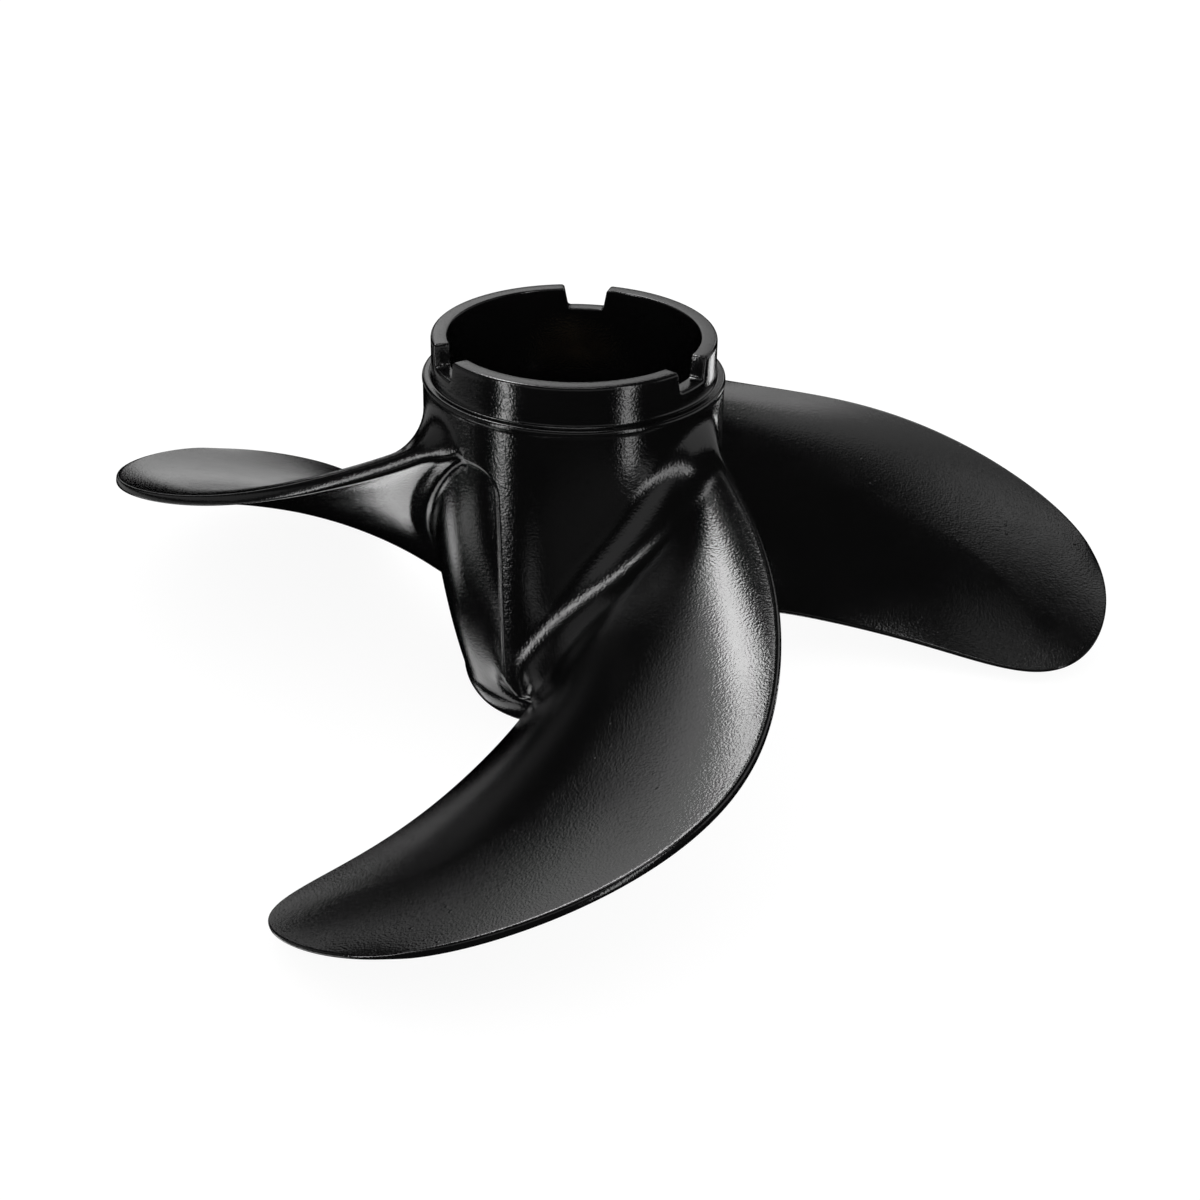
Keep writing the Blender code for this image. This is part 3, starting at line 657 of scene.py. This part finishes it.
class Shell:
    """Collects points once each, and the faces over them."""

    def __init__(self):
        self.points = []
        self.faces = []
        self.known = {}

    def add(self, point):
        """Number of a point, which is new only where none was added before."""
        key = tuple(np.round(np.asarray(point) * KEYS_PER_METRE).astype(int))
        if key not in self.known:
            self.known[key] = len(self.points)
            self.points.append(tuple(point))
        return self.known[key]

    def face(self, ids):
        """Adds a face and leaves out corners that fall together."""
        clean = [corner for i, corner in enumerate(ids) if corner != ids[i - 1]]
        if len(clean) >= 3:
            self.faces.append(clean)

    def grid(self, rows, closed=True):
        """Faces between successive rows of equal length; a closed row joins its last point to its first."""
        ids = [[self.add(point) for point in row] for row in rows]
        for lower, upper in zip(ids[:-1], ids[1:]):
            for i in range(len(lower) if closed else len(lower) - 1):
                j = (i + 1) % len(lower)
                self.face([lower[i], lower[j], upper[j], upper[i]])

    def cover(self, points, triangles):
        """Adds the triangles over a set of points."""
        ids = [self.add(point) for point in points]
        for triangle in triangles:
            self.face([ids[corner] for corner in triangle])

    def mesh(self, name):
        """Welded and smooth-shaded mesh of all that was added."""
        mesh = bpy.data.meshes.new(name)
        mesh.from_pydata(self.points, [], self.faces)
        work = bmesh.new()
        work.from_mesh(mesh)
        bmesh.ops.remove_doubles(work, verts=work.verts, dist=WELD_DISTANCE)
        bmesh.ops.recalc_face_normals(work, faces=work.faces)
        work.to_mesh(mesh)
        work.free()
        mesh.shade_smooth()
        return mesh


def arc(centre_radius, centre_depth, size, start, end, steps):
    """Radius and depth along an arc; angle 0 points outwards and 90 degrees points forward."""
    sweep = np.radians(np.linspace(start, end, steps + 1))
    return [(centre_radius + size * math.cos(a), centre_depth - size * math.sin(a)) for a in sweep]


def ring(radius, depth, turns):
    """Points round the shaft axis at one depth."""
    return cylinder_point(radius, turns, -depth)


def notch_side():
    """One side of a notch from the rim down to its floor, in unrolled lengths, with both corners rounded."""
    top, floor = 0.5 * NOTCH_WIDTH_TOP, 0.5 * NOTCH_WIDTH_FLOOR
    lean = math.atan2(top - floor, NOTCH_DEPTH)
    reach = NOTCH_CORNER * math.tan(0.5 * (QUARTER_TURN - lean))
    swing = np.linspace(0.0, QUARTER_TURN - lean, NOTCH_CORNER_POINTS)
    corner = NOTCH_CORNER * np.array([(math.sin(a), math.cos(a)) for a in swing])
    upper = np.array([-top - reach, -NOTCH_CORNER]) + corner
    lower = np.array([-floor + reach, -NOTCH_DEPTH + NOTCH_CORNER]) - corner[::-1]
    middle = 0.5 * (upper[-1:] + lower[:1])
    return np.concatenate([upper, middle, lower])


def notch_outline():
    """Whole outline of a notch about its middle, in unrolled lengths."""
    side = notch_side()
    mirrored = side[::-1] * (-1.0, 1.0)
    floor_lengths = np.linspace(side[-1, 0], mirrored[0, 0], NOTCH_FLOOR_POINTS + 2)[1:-1]
    floor = np.stack([floor_lengths, np.full(NOTCH_FLOOR_POINTS, -NOTCH_DEPTH)], -1)
    return np.concatenate([side, floor, mirrored])


# The rim's outline starts two sectors back from the barrel's seam, so that a notch lies in its sector
RIM_SEAM = seam_angle(-BARREL_TOP) - 2.0 * SECTOR


def rim_outline():
    """Outline of the rim over one sector in unrolled lengths, from seam to seam, and its normals."""
    notch = notch_outline()
    notch[:, 0] += NOTCH_ANGLE * COLLAR_MIDDLE
    before = np.linspace(RIM_SEAM * COLLAR_MIDDLE, notch[0, 0], RIM_POINTS_BEFORE)[:-1]
    after = np.linspace(notch[-1, 0], (RIM_SEAM + SECTOR) * COLLAR_MIDDLE, RIM_POINTS_AFTER)[1:]
    outline = np.concatenate([
        np.stack([before, 0.0 * before], -1), notch, np.stack([after, 0.0 * after], -1)
    ])
    tangent = np.gradient(outline, axis=0)
    tangent[0] = tangent[-1] = (1.0, 0.0)
    tangent /= np.linalg.norm(tangent, axis=1)[:, None]
    return outline, np.stack([-tangent[:, 1], tangent[:, 0]], -1)


def rounded_rim(wall_radius, size, outward):
    """Rows from a wall up over its rounded edge, each as a radius and a chain of angles and heights.

    Outward is 1 where the rows lead away from the shaft axis and -1 where they lead towards it.
    """
    outline, normal = rim_outline()
    rows = []
    for step in range(ROUND_ARCS + 1):
        swing = QUARTER_TURN * step / ROUND_ARCS
        line = outline - normal * (size * (1.0 - math.sin(swing)))
        radius = wall_radius + outward * size * (1.0 - math.cos(swing))
        rows.append((radius, line / (COLLAR_MIDDLE, 1.0)))
    return rows


def level_line(turns, depth):
    """Chain of angles and heights at one depth."""
    return np.stack([turns, np.full(len(turns), -depth)], -1)


def wall_patch(top, bottom, radius):
    """Points and triangles on a cylinder between an upper and a lower chain of angles and heights."""
    ends = []
    for upper, lower in ((top[-1], bottom[-1]), (bottom[0], top[0])):
        steps = max(2, int(abs(upper[1] - lower[1]) / GRID_STEP))
        ends.append(np.linspace(upper, lower, steps + 1)[1:-1])
    border = np.concatenate([top, ends[0], bottom[::-1], ends[1]]) * (radius, 1.0)
    heights = np.arange(bottom[:, 1].max(), top[:, 1].max(), GRID_STEP)
    lengths = np.arange(border[:, 0].min(), border[:, 0].max(), GRID_STEP)
    inner = np.array([(length, height) for height in heights for length in lengths])
    flat, triangles = patch(border, None, inner, WALL_CLEARANCE)
    return cylinder_point(radius, flat[:, 0] / radius, flat[:, 1]), triangles


def ledge_profile():
    """Radius and depth from the top of the barrel over the ledge to the collar's wall."""
    profile = [(BARREL_RADIUS, BARREL_TOP), (BARREL_RADIUS, LEDGE_BOTTOM + LEDGE_STEP)]
    profile += arc(LEDGE_RADIUS - LEDGE_STEP, LEDGE_BOTTOM - LEDGE_STEP, LEDGE_STEP, -60.0, 0.0, STEP_ARCS)
    profile += arc(LEDGE_RADIUS - LEDGE_ROUND, LEDGE_DEPTH + LEDGE_ROUND, LEDGE_ROUND, 0.0, 90.0, ROUND_ARCS)
    profile += arc(COLLAR_RADIUS + COLLAR_FILLET, COLLAR_FOOT, COLLAR_FILLET, 270.0, 180.0, ROUND_ARCS)
    return profile


def add_collar(shell):
    """Ledge, collar wall, notched rim and the upper part of the bore."""
    turns = RIM_SEAM + FULL_TURN * np.arange(BLADE_COUNT * SECTOR_POINTS) / (BLADE_COUNT * SECTOR_POINTS)
    shell.grid([ring(radius, depth, turns) for radius, depth in ledge_profile()])
    rows = rounded_rim(COLLAR_RADIUS, RIM_ROUND, -1.0) + rounded_rim(COLLAR_BORE, BORE_ROUND, 1.0)[::-1]
    rim = [cylinder_point(radius, *line.T) for radius, line in rows]
    foot = level_line(sector_angles(RIM_SEAM), COLLAR_FOOT)
    outer_wall = wall_patch(rows[0][1], foot, COLLAR_RADIUS)
    inner_wall = wall_patch(rows[-1][1], level_line(seam_rib_turns(), COLLAR_WALL_BOTTOM), COLLAR_BORE)
    for blade in range(BLADE_COUNT):
        turn = blade * SECTOR
        shell.grid([turned(row, turn) for row in rim], closed=False)
        for points, triangles in (outer_wall, inner_wall):
            shell.cover(turned(points, turn), triangles)


def rib_turns(radius, start):
    """Angles of one ring inside the hub: each rib spans its own thickness at this radius."""
    half = math.asin(0.5 * RIB_THICKNESS / radius)
    rib = np.linspace(-half, half, RIB_POINTS)
    gap = np.linspace(half, SECTOR - half, PASSAGE_POINTS)[1:-1]
    return np.concatenate([rib, gap]) + start


def seam_rib_turns():
    """Angles of the inside's ring points at the bore, over the sector that starts at the rim's seam."""
    sectors = range(-BLADE_COUNT, BLADE_COUNT + 1)
    turns = np.concatenate([rib_turns(COLLAR_BORE, RIB_ANGLE + sector * SECTOR) for sector in sectors])
    inside = turns[(turns > RIM_SEAM - ANGLE_SLACK) & (turns < RIM_SEAM + SECTOR - ANGLE_SLACK)]
    return np.append(inside, inside[0] + SECTOR)


def full_ring(radius, depth):
    """Whole ring inside the hub, with the points of its ribs."""
    turns = np.concatenate([rib_turns(radius, RIB_ANGLE + blade * SECTOR) for blade in range(BLADE_COUNT)])
    return ring(radius, depth, turns)


def passage_radii(depth):
    """Outer and inner radius of the passages between the ribs."""
    share = np.clip((depth - PASSAGE_TAPER_START) / (AFT_FACE_DEPTH - PASSAGE_TAPER_START), 0.0, 1.0)
    outer = COLLAR_BORE + (PASSAGE_OUTER_AFT - COLLAR_BORE) * share ** PASSAGE_TAPER_POWER
    along = np.clip((depth - CAVITY_DEPTH) / (AFT_FACE_DEPTH - CAVITY_DEPTH), 0.0, 1.0)
    return outer, BOSS_RADIUS_TOP + (BOSS_RADIUS_AFT - BOSS_RADIUS_TOP) * along


def boss_profile():
    """Radius and depth from the cavity over the inner hub, down its bore and up to the ribs."""
    top, bottom = BOSS_DEPTH + BOSS_ROUND, BOSS_BOTTOM - BOSS_ROUND
    aft_radius = passage_radii(BOSS_BOTTOM)[1]
    profile = [(BOSS_RADIUS_TOP, depth) for depth in np.linspace(CAVITY_DEPTH, top, BOSS_TOP_ROWS)]
    profile += arc(BOSS_RADIUS_TOP - BOSS_ROUND, top, BOSS_ROUND, 0.0, 90.0, BOSS_ARCS)[1:]
    profile += arc(BUSHING_BORE + BOSS_ROUND, top, BOSS_ROUND, 90.0, 180.0, BOSS_ARCS)
    profile += [(BUSHING_BORE, depth) for depth in np.linspace(top, bottom, BOSS_BORE_ROWS)[1:]]
    profile += arc(BUSHING_BORE + BOSS_ROUND, bottom, BOSS_ROUND, 180.0, 270.0, BOSS_ARCS)[1:]
    profile += arc(aft_radius - BOSS_ROUND, bottom, BOSS_ROUND, -90.0, 0.0, BOSS_ARCS)
    profile.append((passage_radii(RIB_BOTTOM)[1], RIB_BOTTOM))
    return profile


def passage_wall(radius, depth, start):
    """Points round one passage at a depth, from the rib at a start angle to the next rib."""
    turns = rib_turns(radius, start)[RIB_POINTS - 1:]
    half = turns[0] - start
    return ring(radius, depth, np.append(turns, start + SECTOR - half))


def add_passage(shell, start):
    """Walls of the passage that follows the rib at a start angle, and both ends of that rib."""
    outer, inner, near_side, far_side = [], [], [], []
    for depth in np.linspace(CAVITY_DEPTH, RIB_BOTTOM, PASSAGE_ROWS):
        out_wall, in_wall = (passage_wall(radius, depth, start) for radius in passage_radii(depth))
        outer.append(out_wall)
        inner.append(in_wall)
        near_side.append(np.linspace(out_wall[0], in_wall[0], RIB_STEPS + 1))
        far_side.append(np.linspace(out_wall[-1], in_wall[-1], RIB_STEPS + 1))
    for rows in (outer, inner, near_side, far_side):
        shell.grid(rows, closed=False)
    for depth in (CAVITY_DEPTH, RIB_BOTTOM):
        far, near = (
            ring(radius, depth, rib_turns(radius, start)[:RIB_POINTS]) for radius in passage_radii(depth)
        )
        shell.grid(np.linspace(far, near, RIB_STEPS + 1), closed=False)


def add_inside(shell):
    """Cavity, inner hub, ribs and passages."""
    depths = np.linspace(COLLAR_WALL_BOTTOM, CAVITY_DEPTH, CAVITY_ROWS)
    shell.grid([full_ring(COLLAR_BORE, depth) for depth in depths])
    shell.grid([full_ring(radius, depth) for radius, depth in boss_profile()])
    for blade in range(BLADE_COUNT):
        add_passage(shell, RIB_ANGLE + blade * SECTOR)


def add_aft_end(shell):
    """Rounded aft edge of the barrel, its flat ring and the mouth of the passages."""
    swing = math.degrees(math.asin((AFT_FACE_DEPTH - TAPER_END) / AFT_ROUND))
    sector = sector_angles(seam_angle(-TAPER_END))[:-1]
    turns = np.concatenate([sector + blade * SECTOR for blade in range(BLADE_COUNT)])
    edge = arc(TAPER_END_RADIUS - AFT_ROUND, TAPER_END, AFT_ROUND, 0.0, -swing, AFT_ARCS)
    shell.grid([ring(radius, depth, turns) for radius, depth in edge])
    top = AFT_FACE_DEPTH - MOUTH_ROUND
    mouth = arc(passage_radii(AFT_FACE_DEPTH)[0] + MOUTH_ROUND, top, MOUTH_ROUND, 270.0, 180.0, STEP_ARCS)
    mouth += [(passage_radii(depth)[0], depth) for depth in np.linspace(top, RIB_BOTTOM, MOUTH_ROWS)[1:]]
    shell.grid([full_ring(radius, depth) for radius, depth in mouth])
    rim = ring(edge[-1][0], AFT_FACE_DEPTH, turns)
    hole = full_ring(mouth[0][0], AFT_FACE_DEPTH)
    triangles = patch(rim[:, :2], hole[:, :2], np.zeros((0, 2)), 0.0)[1]
    shell.cover(np.concatenate([rim, hole]), triangles)


def casting_mesh():
    """Barrel with its blades, collar, inside and aft end, as one closed mesh."""
    shell = Shell()
    rows = blade_grid()
    skin, triangles = barrel_sector(rows[0])
    for blade in range(BLADE_COUNT):
        turn = blade * SECTOR
        shell.cover(turned(skin, turn), triangles)
        shell.grid([turned(row, turn) for row in rows])
    add_collar(shell)
    add_inside(shell)
    add_aft_end(shell)
    return shell.mesh("painted_casting")


def bushing_mesh():
    """Rubber tube between the inner hub and the sleeve, with a shallow dish in each end."""
    shell = Shell()
    turns = FULL_TURN * np.arange(BUSHING_POINTS) / BUSHING_POINTS
    inner, outer = SLEEVE_RADIUS + BUSHING_CLEARANCE, BUSHING_BORE - BUSHING_CLEARANCE
    top, bottom = BUSHING_TOP + BUSHING_ROUND, BUSHING_BOTTOM - BUSHING_ROUND
    middle = 0.5 * (inner + outer)
    profile = arc(outer - BUSHING_ROUND, top, BUSHING_ROUND, 0.0, 90.0, ROUND_ARCS)
    profile.append((middle, BUSHING_TOP + BUSHING_DISH))
    profile += arc(inner + BUSHING_ROUND, top, BUSHING_ROUND, 90.0, 180.0, ROUND_ARCS)
    profile += arc(inner + BUSHING_ROUND, bottom, BUSHING_ROUND, 180.0, 270.0, ROUND_ARCS)
    profile.append((middle, BUSHING_BOTTOM - BUSHING_DISH))
    profile += arc(outer - BUSHING_ROUND, bottom, BUSHING_ROUND, 270.0, 360.0, ROUND_ARCS)
    profile.append(profile[0])
    shell.grid([ring(radius, depth, turns) for radius, depth in profile])
    return shell.mesh("rubber_bushing_skin")


def spline_radius(turns, lead):
    """Bore radius at each angle: a tooth fills half a pitch, cut back by the depth of the lead-in."""
    phase = (turns * SPLINE_TEETH / FULL_TURN) % 1.0
    rising = smooth_share((phase - (1.0 - SPLINE_FLANK)) / SPLINE_FLANK)
    falling = smooth_share((0.5 - phase) / SPLINE_FLANK + 0.5)
    tooth = np.maximum(rising, falling)
    return SPLINE_MAJOR - (SPLINE_MAJOR - SPLINE_MINOR) * tooth + lead * tooth


def sleeve_mesh():
    """Bronze sleeve with rounded ends and internal splines."""
    shell = Shell()
    turns = FULL_TURN * np.arange(SLEEVE_POINTS) / SLEEVE_POINTS
    end_radius = SLEEVE_RADIUS - SLEEVE_ROUND
    bore = [(SPLINE_LEAD, SLEEVE_TOP), (0.0, SLEEVE_TOP + SPLINE_LEAD_LENGTH)]
    full_depths = np.linspace(SLEEVE_TOP + SLEEVE_ROWS_FROM, SLEEVE_BOTTOM - SLEEVE_ROWS_FROM, SLEEVE_ROWS)
    bore += [(0.0, depth) for depth in full_depths]
    bore += [(0.0, SLEEVE_BOTTOM - SPLINE_LEAD_LENGTH), (SPLINE_LEAD, SLEEVE_BOTTOM)]
    profile = arc(end_radius, SLEEVE_TOP + SLEEVE_ROUND, SLEEVE_ROUND, 0.0, 90.0, STEP_ARCS)
    profile += [(spline_radius(turns, lead), depth) for lead, depth in bore]
    profile += arc(end_radius, SLEEVE_BOTTOM - SLEEVE_ROUND, SLEEVE_ROUND, 270.0, 360.0, STEP_ARCS)
    profile.append(profile[0])
    shell.grid([ring(radius, depth, turns) for radius, depth in profile])
    return shell.mesh("splined_sleeve_skin")


class Nodes:
    """Short way to build a shader's node tree."""

    def __init__(self, name):
        self.material = bpy.data.materials.new(name)
        self.material.use_nodes = True
        self.tree = self.material.node_tree
        self.shader = self.tree.nodes["Principled BSDF"]
        self.place = self.add("ShaderNodeTexCoord").outputs["Object"]

    def add(self, kind, **values):
        """New node with some of its properties set."""
        node = self.tree.nodes.new(kind)
        for key, value in values.items():
            setattr(node, key, value)
        return node

    def link(self, source, target):
        """Leads an output into an input."""
        self.tree.links.new(source, target)

    def noise(self, scale, detail):
        """Soft clouds, as many per metre as the scale says."""
        node = self.add("ShaderNodeTexNoise")
        node.inputs["Scale"].default_value = scale
        node.inputs["Detail"].default_value = detail
        self.link(self.place, node.inputs["Vector"])
        return node.outputs["Fac"]

    def spots(self, scale):
        """Distance from the nearest of many scattered points."""
        node = self.add("ShaderNodeTexVoronoi")
        node.inputs["Scale"].default_value = scale
        self.link(self.place, node.inputs["Vector"])
        return node.outputs["Distance"]

    def rings(self, scale, distortion):
        """Waves up the shaft axis, a little disturbed."""
        node = self.add("ShaderNodeTexWave", bands_direction="Z")
        node.inputs["Scale"].default_value = scale
        node.inputs["Distortion"].default_value = distortion
        self.link(self.place, node.inputs["Vector"])
        return node.outputs["Fac"]

    def ramp(self, value, low, high, start, end):
        """Maps a value from low..high to start..end, held at both ends."""
        node = self.add("ShaderNodeMapRange")
        node.inputs["From Min"].default_value = low
        node.inputs["From Max"].default_value = high
        node.inputs["To Min"].default_value = start
        node.inputs["To Max"].default_value = end
        self.link(value, node.inputs["Value"])
        return node.outputs["Result"]

    def product(self, first, second):
        """Two values multiplied."""
        node = self.add("ShaderNodeMath", operation="MULTIPLY")
        self.link(first, node.inputs[0])
        self.link(second, node.inputs[1])
        return node.outputs[0]

    def tone(self, share, tones):
        """Mix of two tones."""
        node = self.add("ShaderNodeMix", data_type="RGBA")
        self.link(share, node.inputs["Factor"])
        node.inputs["A"].default_value = (*tones[0], 1.0)
        node.inputs["B"].default_value = (*tones[1], 1.0)
        return node.outputs["Result"]

    def bump(self, height, distance, under=None):
        """Relief of a distance in metres, over the relief under it."""
        node = self.add("ShaderNodeBump")
        node.inputs["Distance"].default_value = distance
        self.link(height, node.inputs["Height"])
        if under is not None:
            self.link(under, node.inputs["Normal"])
        return node.outputs["Normal"]

    def finish(self, normal, colour, roughness):
        """Feeds the shader and returns the material."""
        self.link(normal, self.shader.inputs["Normal"])
        self.link(colour, self.shader.inputs["Base Color"])
        self.link(roughness, self.shader.inputs["Roughness"])
        return self.material


def gloss_paint():
    """Black gloss paint over cast metal: slight waves, a fine orange peel and a few specks."""
    nodes = Nodes("gloss_black_paint_skin")
    specks = nodes.ramp(nodes.spots(scale=420.0), low=0.0, high=0.16, start=1.0, end=0.0)
    rare = nodes.ramp(nodes.noise(scale=60.0, detail=1.0), low=0.56, high=0.66, start=0.0, end=1.0)
    normal = nodes.bump(nodes.noise(scale=120.0, detail=1.0), distance=0.000012)
    normal = nodes.bump(nodes.noise(scale=2400.0, detail=1.0), distance=0.000032, under=normal)
    normal = nodes.bump(nodes.product(specks, rare), distance=0.00005, under=normal)
    colour = nodes.tone(nodes.noise(scale=45.0, detail=3.0), PAINT_TONES)
    marks = nodes.noise(scale=160.0, detail=3.0)
    return nodes.finish(normal, colour, nodes.ramp(marks, low=0.3, high=0.7, start=0.12, end=0.16))


def soft_rubber():
    """Matt black rubber with a fine grain and a little dust."""
    nodes = Nodes("black_rubber_skin")
    normal = nodes.bump(nodes.noise(scale=1500.0, detail=2.0), distance=0.00003)
    dust = nodes.ramp(nodes.noise(scale=250.0, detail=4.0), low=0.5, high=0.75, start=0.0, end=1.0)
    marks = nodes.noise(scale=400.0, detail=3.0)
    roughness = nodes.ramp(marks, low=0.3, high=0.7, start=0.65, end=0.85)
    return nodes.finish(normal, nodes.tone(dust, RUBBER_TONES), roughness)


def turned_bronze():
    """Bronze with fine turning rings and a faint brown film."""
    nodes = Nodes("machined_bronze_skin")
    normal = nodes.bump(nodes.rings(scale=900.0, distortion=1.5), distance=0.00001)
    film = nodes.ramp(nodes.noise(scale=180.0, detail=4.0), low=0.4, high=0.7, start=0.0, end=1.0)
    marks = nodes.noise(scale=500.0, detail=3.0)
    roughness = nodes.ramp(marks, low=0.3, high=0.7, start=0.25, end=0.42)
    nodes.shader.inputs["Metallic"].default_value = 1.0
    return nodes.finish(normal, nodes.tone(film, BRONZE_TONES), roughness)


def placed(mesh, node, material):
    """Object of the mesh's name that stands for a CAD node."""
    mesh.transform(Matrix.Translation((0.0, 0.0, RIM_HEIGHT)))
    mesh.materials.append(material)
    item = bpy.data.objects.new(mesh.name, mesh)
    bpy.context.collection.objects.link(item)
    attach(item, "root")
    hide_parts(node)


def direction(azimuth, elevation):
    """Unit vector away from the hub, for an azimuth and an elevation in degrees."""
    turn, rise = math.radians(azimuth), math.radians(elevation)
    return Vector((math.cos(turn) * math.cos(rise), math.sin(turn) * math.cos(rise), math.sin(rise)))


def make_camera():
    """Camera at the height, distance and lens of the photograph."""
    azimuth, roll = math.radians(CAMERA_AZIMUTH), math.radians(CAMERA_ROLL)
    back = direction(CAMERA_AZIMUTH, CAMERA_ELEVATION)
    right = Vector((-math.sin(azimuth), math.cos(azimuth), 0.0))
    up = back.cross(right)
    across = right * math.cos(roll) + up * math.sin(roll)
    above = up * math.cos(roll) - right * math.sin(roll)
    data = bpy.data.cameras.new("camera")
    data.sensor_width = SENSOR_WIDTH
    data.lens = SENSOR_WIDTH * FOCAL_WIDTHS
    data.clip_start = NEAR_CLIP
    item = bpy.data.objects.new("camera", data)
    bpy.context.collection.objects.link(item)
    matrix = Matrix((across, above, back)).transposed().to_4x4()
    matrix.translation = Vector(CAMERA_TARGET) + back * CAMERA_DISTANCE
    item.matrix_world = matrix
    bpy.context.scene.camera = item
    bpy.context.scene.view_settings.view_transform = "Standard"


def softbox(name, azimuth, elevation, roll, width, height, brightness):
    """Panel that faces the hub and shows only in the gloss of surfaces."""
    back = direction(azimuth, elevation)
    data = bpy.data.lights.new(name, "AREA")
    data.shape = "RECTANGLE"
    data.size = 2.0 * SOFTBOX_DISTANCE * math.tan(math.radians(0.5 * width))
    data.size_y = 2.0 * SOFTBOX_DISTANCE * math.tan(math.radians(0.5 * height))
    data.energy = brightness * math.pi * data.size * data.size_y
    item = bpy.data.objects.new(name, data)
    bpy.context.collection.objects.link(item)
    item.location = back * SOFTBOX_DISTANCE
    facing = back.to_track_quat("Z", "Y") @ Quaternion((0.0, 0.0, 1.0), math.radians(roll))
    item.rotation_euler = facing.to_euler()
    item.visible_diffuse = False
    item.visible_camera = False


def make_floor():
    """Pale floor that glows a little, so that it is as white as the backdrop and keeps a soft shadow."""
    mesh = bpy.data.meshes.new("floor")
    corners = [(x * FLOOR_REACH, y * FLOOR_REACH, 0.0) for x, y in ((-1, -1), (1, -1), (1, 1), (-1, 1))]
    mesh.from_pydata(corners, [], [(0, 1, 2, 3)])
    floor = bpy.data.objects.new("floor", mesh)
    floor.location.z = FLOOR_HEIGHT
    bpy.context.collection.objects.link(floor)
    nodes = Nodes("pale_floor")
    nodes.shader.inputs["Base Color"].default_value = FLOOR_COLOUR
    nodes.shader.inputs["Roughness"].default_value = FLOOR_ROUGHNESS
    nodes.shader.inputs["Specular IOR Level"].default_value = FLOOR_SPECULAR
    nodes.shader.inputs["Emission Color"].default_value = WHITE
    nodes.shader.inputs["Emission Strength"].default_value = FLOOR_GLOW
    mesh.materials.append(nodes.material)
    floor.visible_glossy = False


def make_light():
    """White world that the gloss doesn't show, and the softboxes that it does."""
    world = bpy.data.worlds.new("studio")
    bpy.context.scene.world = world
    world.use_nodes = True
    background = world.node_tree.nodes["Background"]
    background.inputs["Color"].default_value = WHITE
    background.inputs["Strength"].default_value = WORLD_STRENGTH
    world.cycles_visibility.glossy = False
    for panel in SOFTBOXES:
        softbox(*panel)


def main():
    """Builds the three pieces, the floor, the camera and the lights."""
    placed(casting_mesh(), "propeller_casting", gloss_paint())
    placed(bushing_mesh(), "rubber_bushing", soft_rubber())
    placed(sleeve_mesh(), "splined_sleeve", turned_bronze())
    make_floor()
    make_camera()
    make_light()


main()
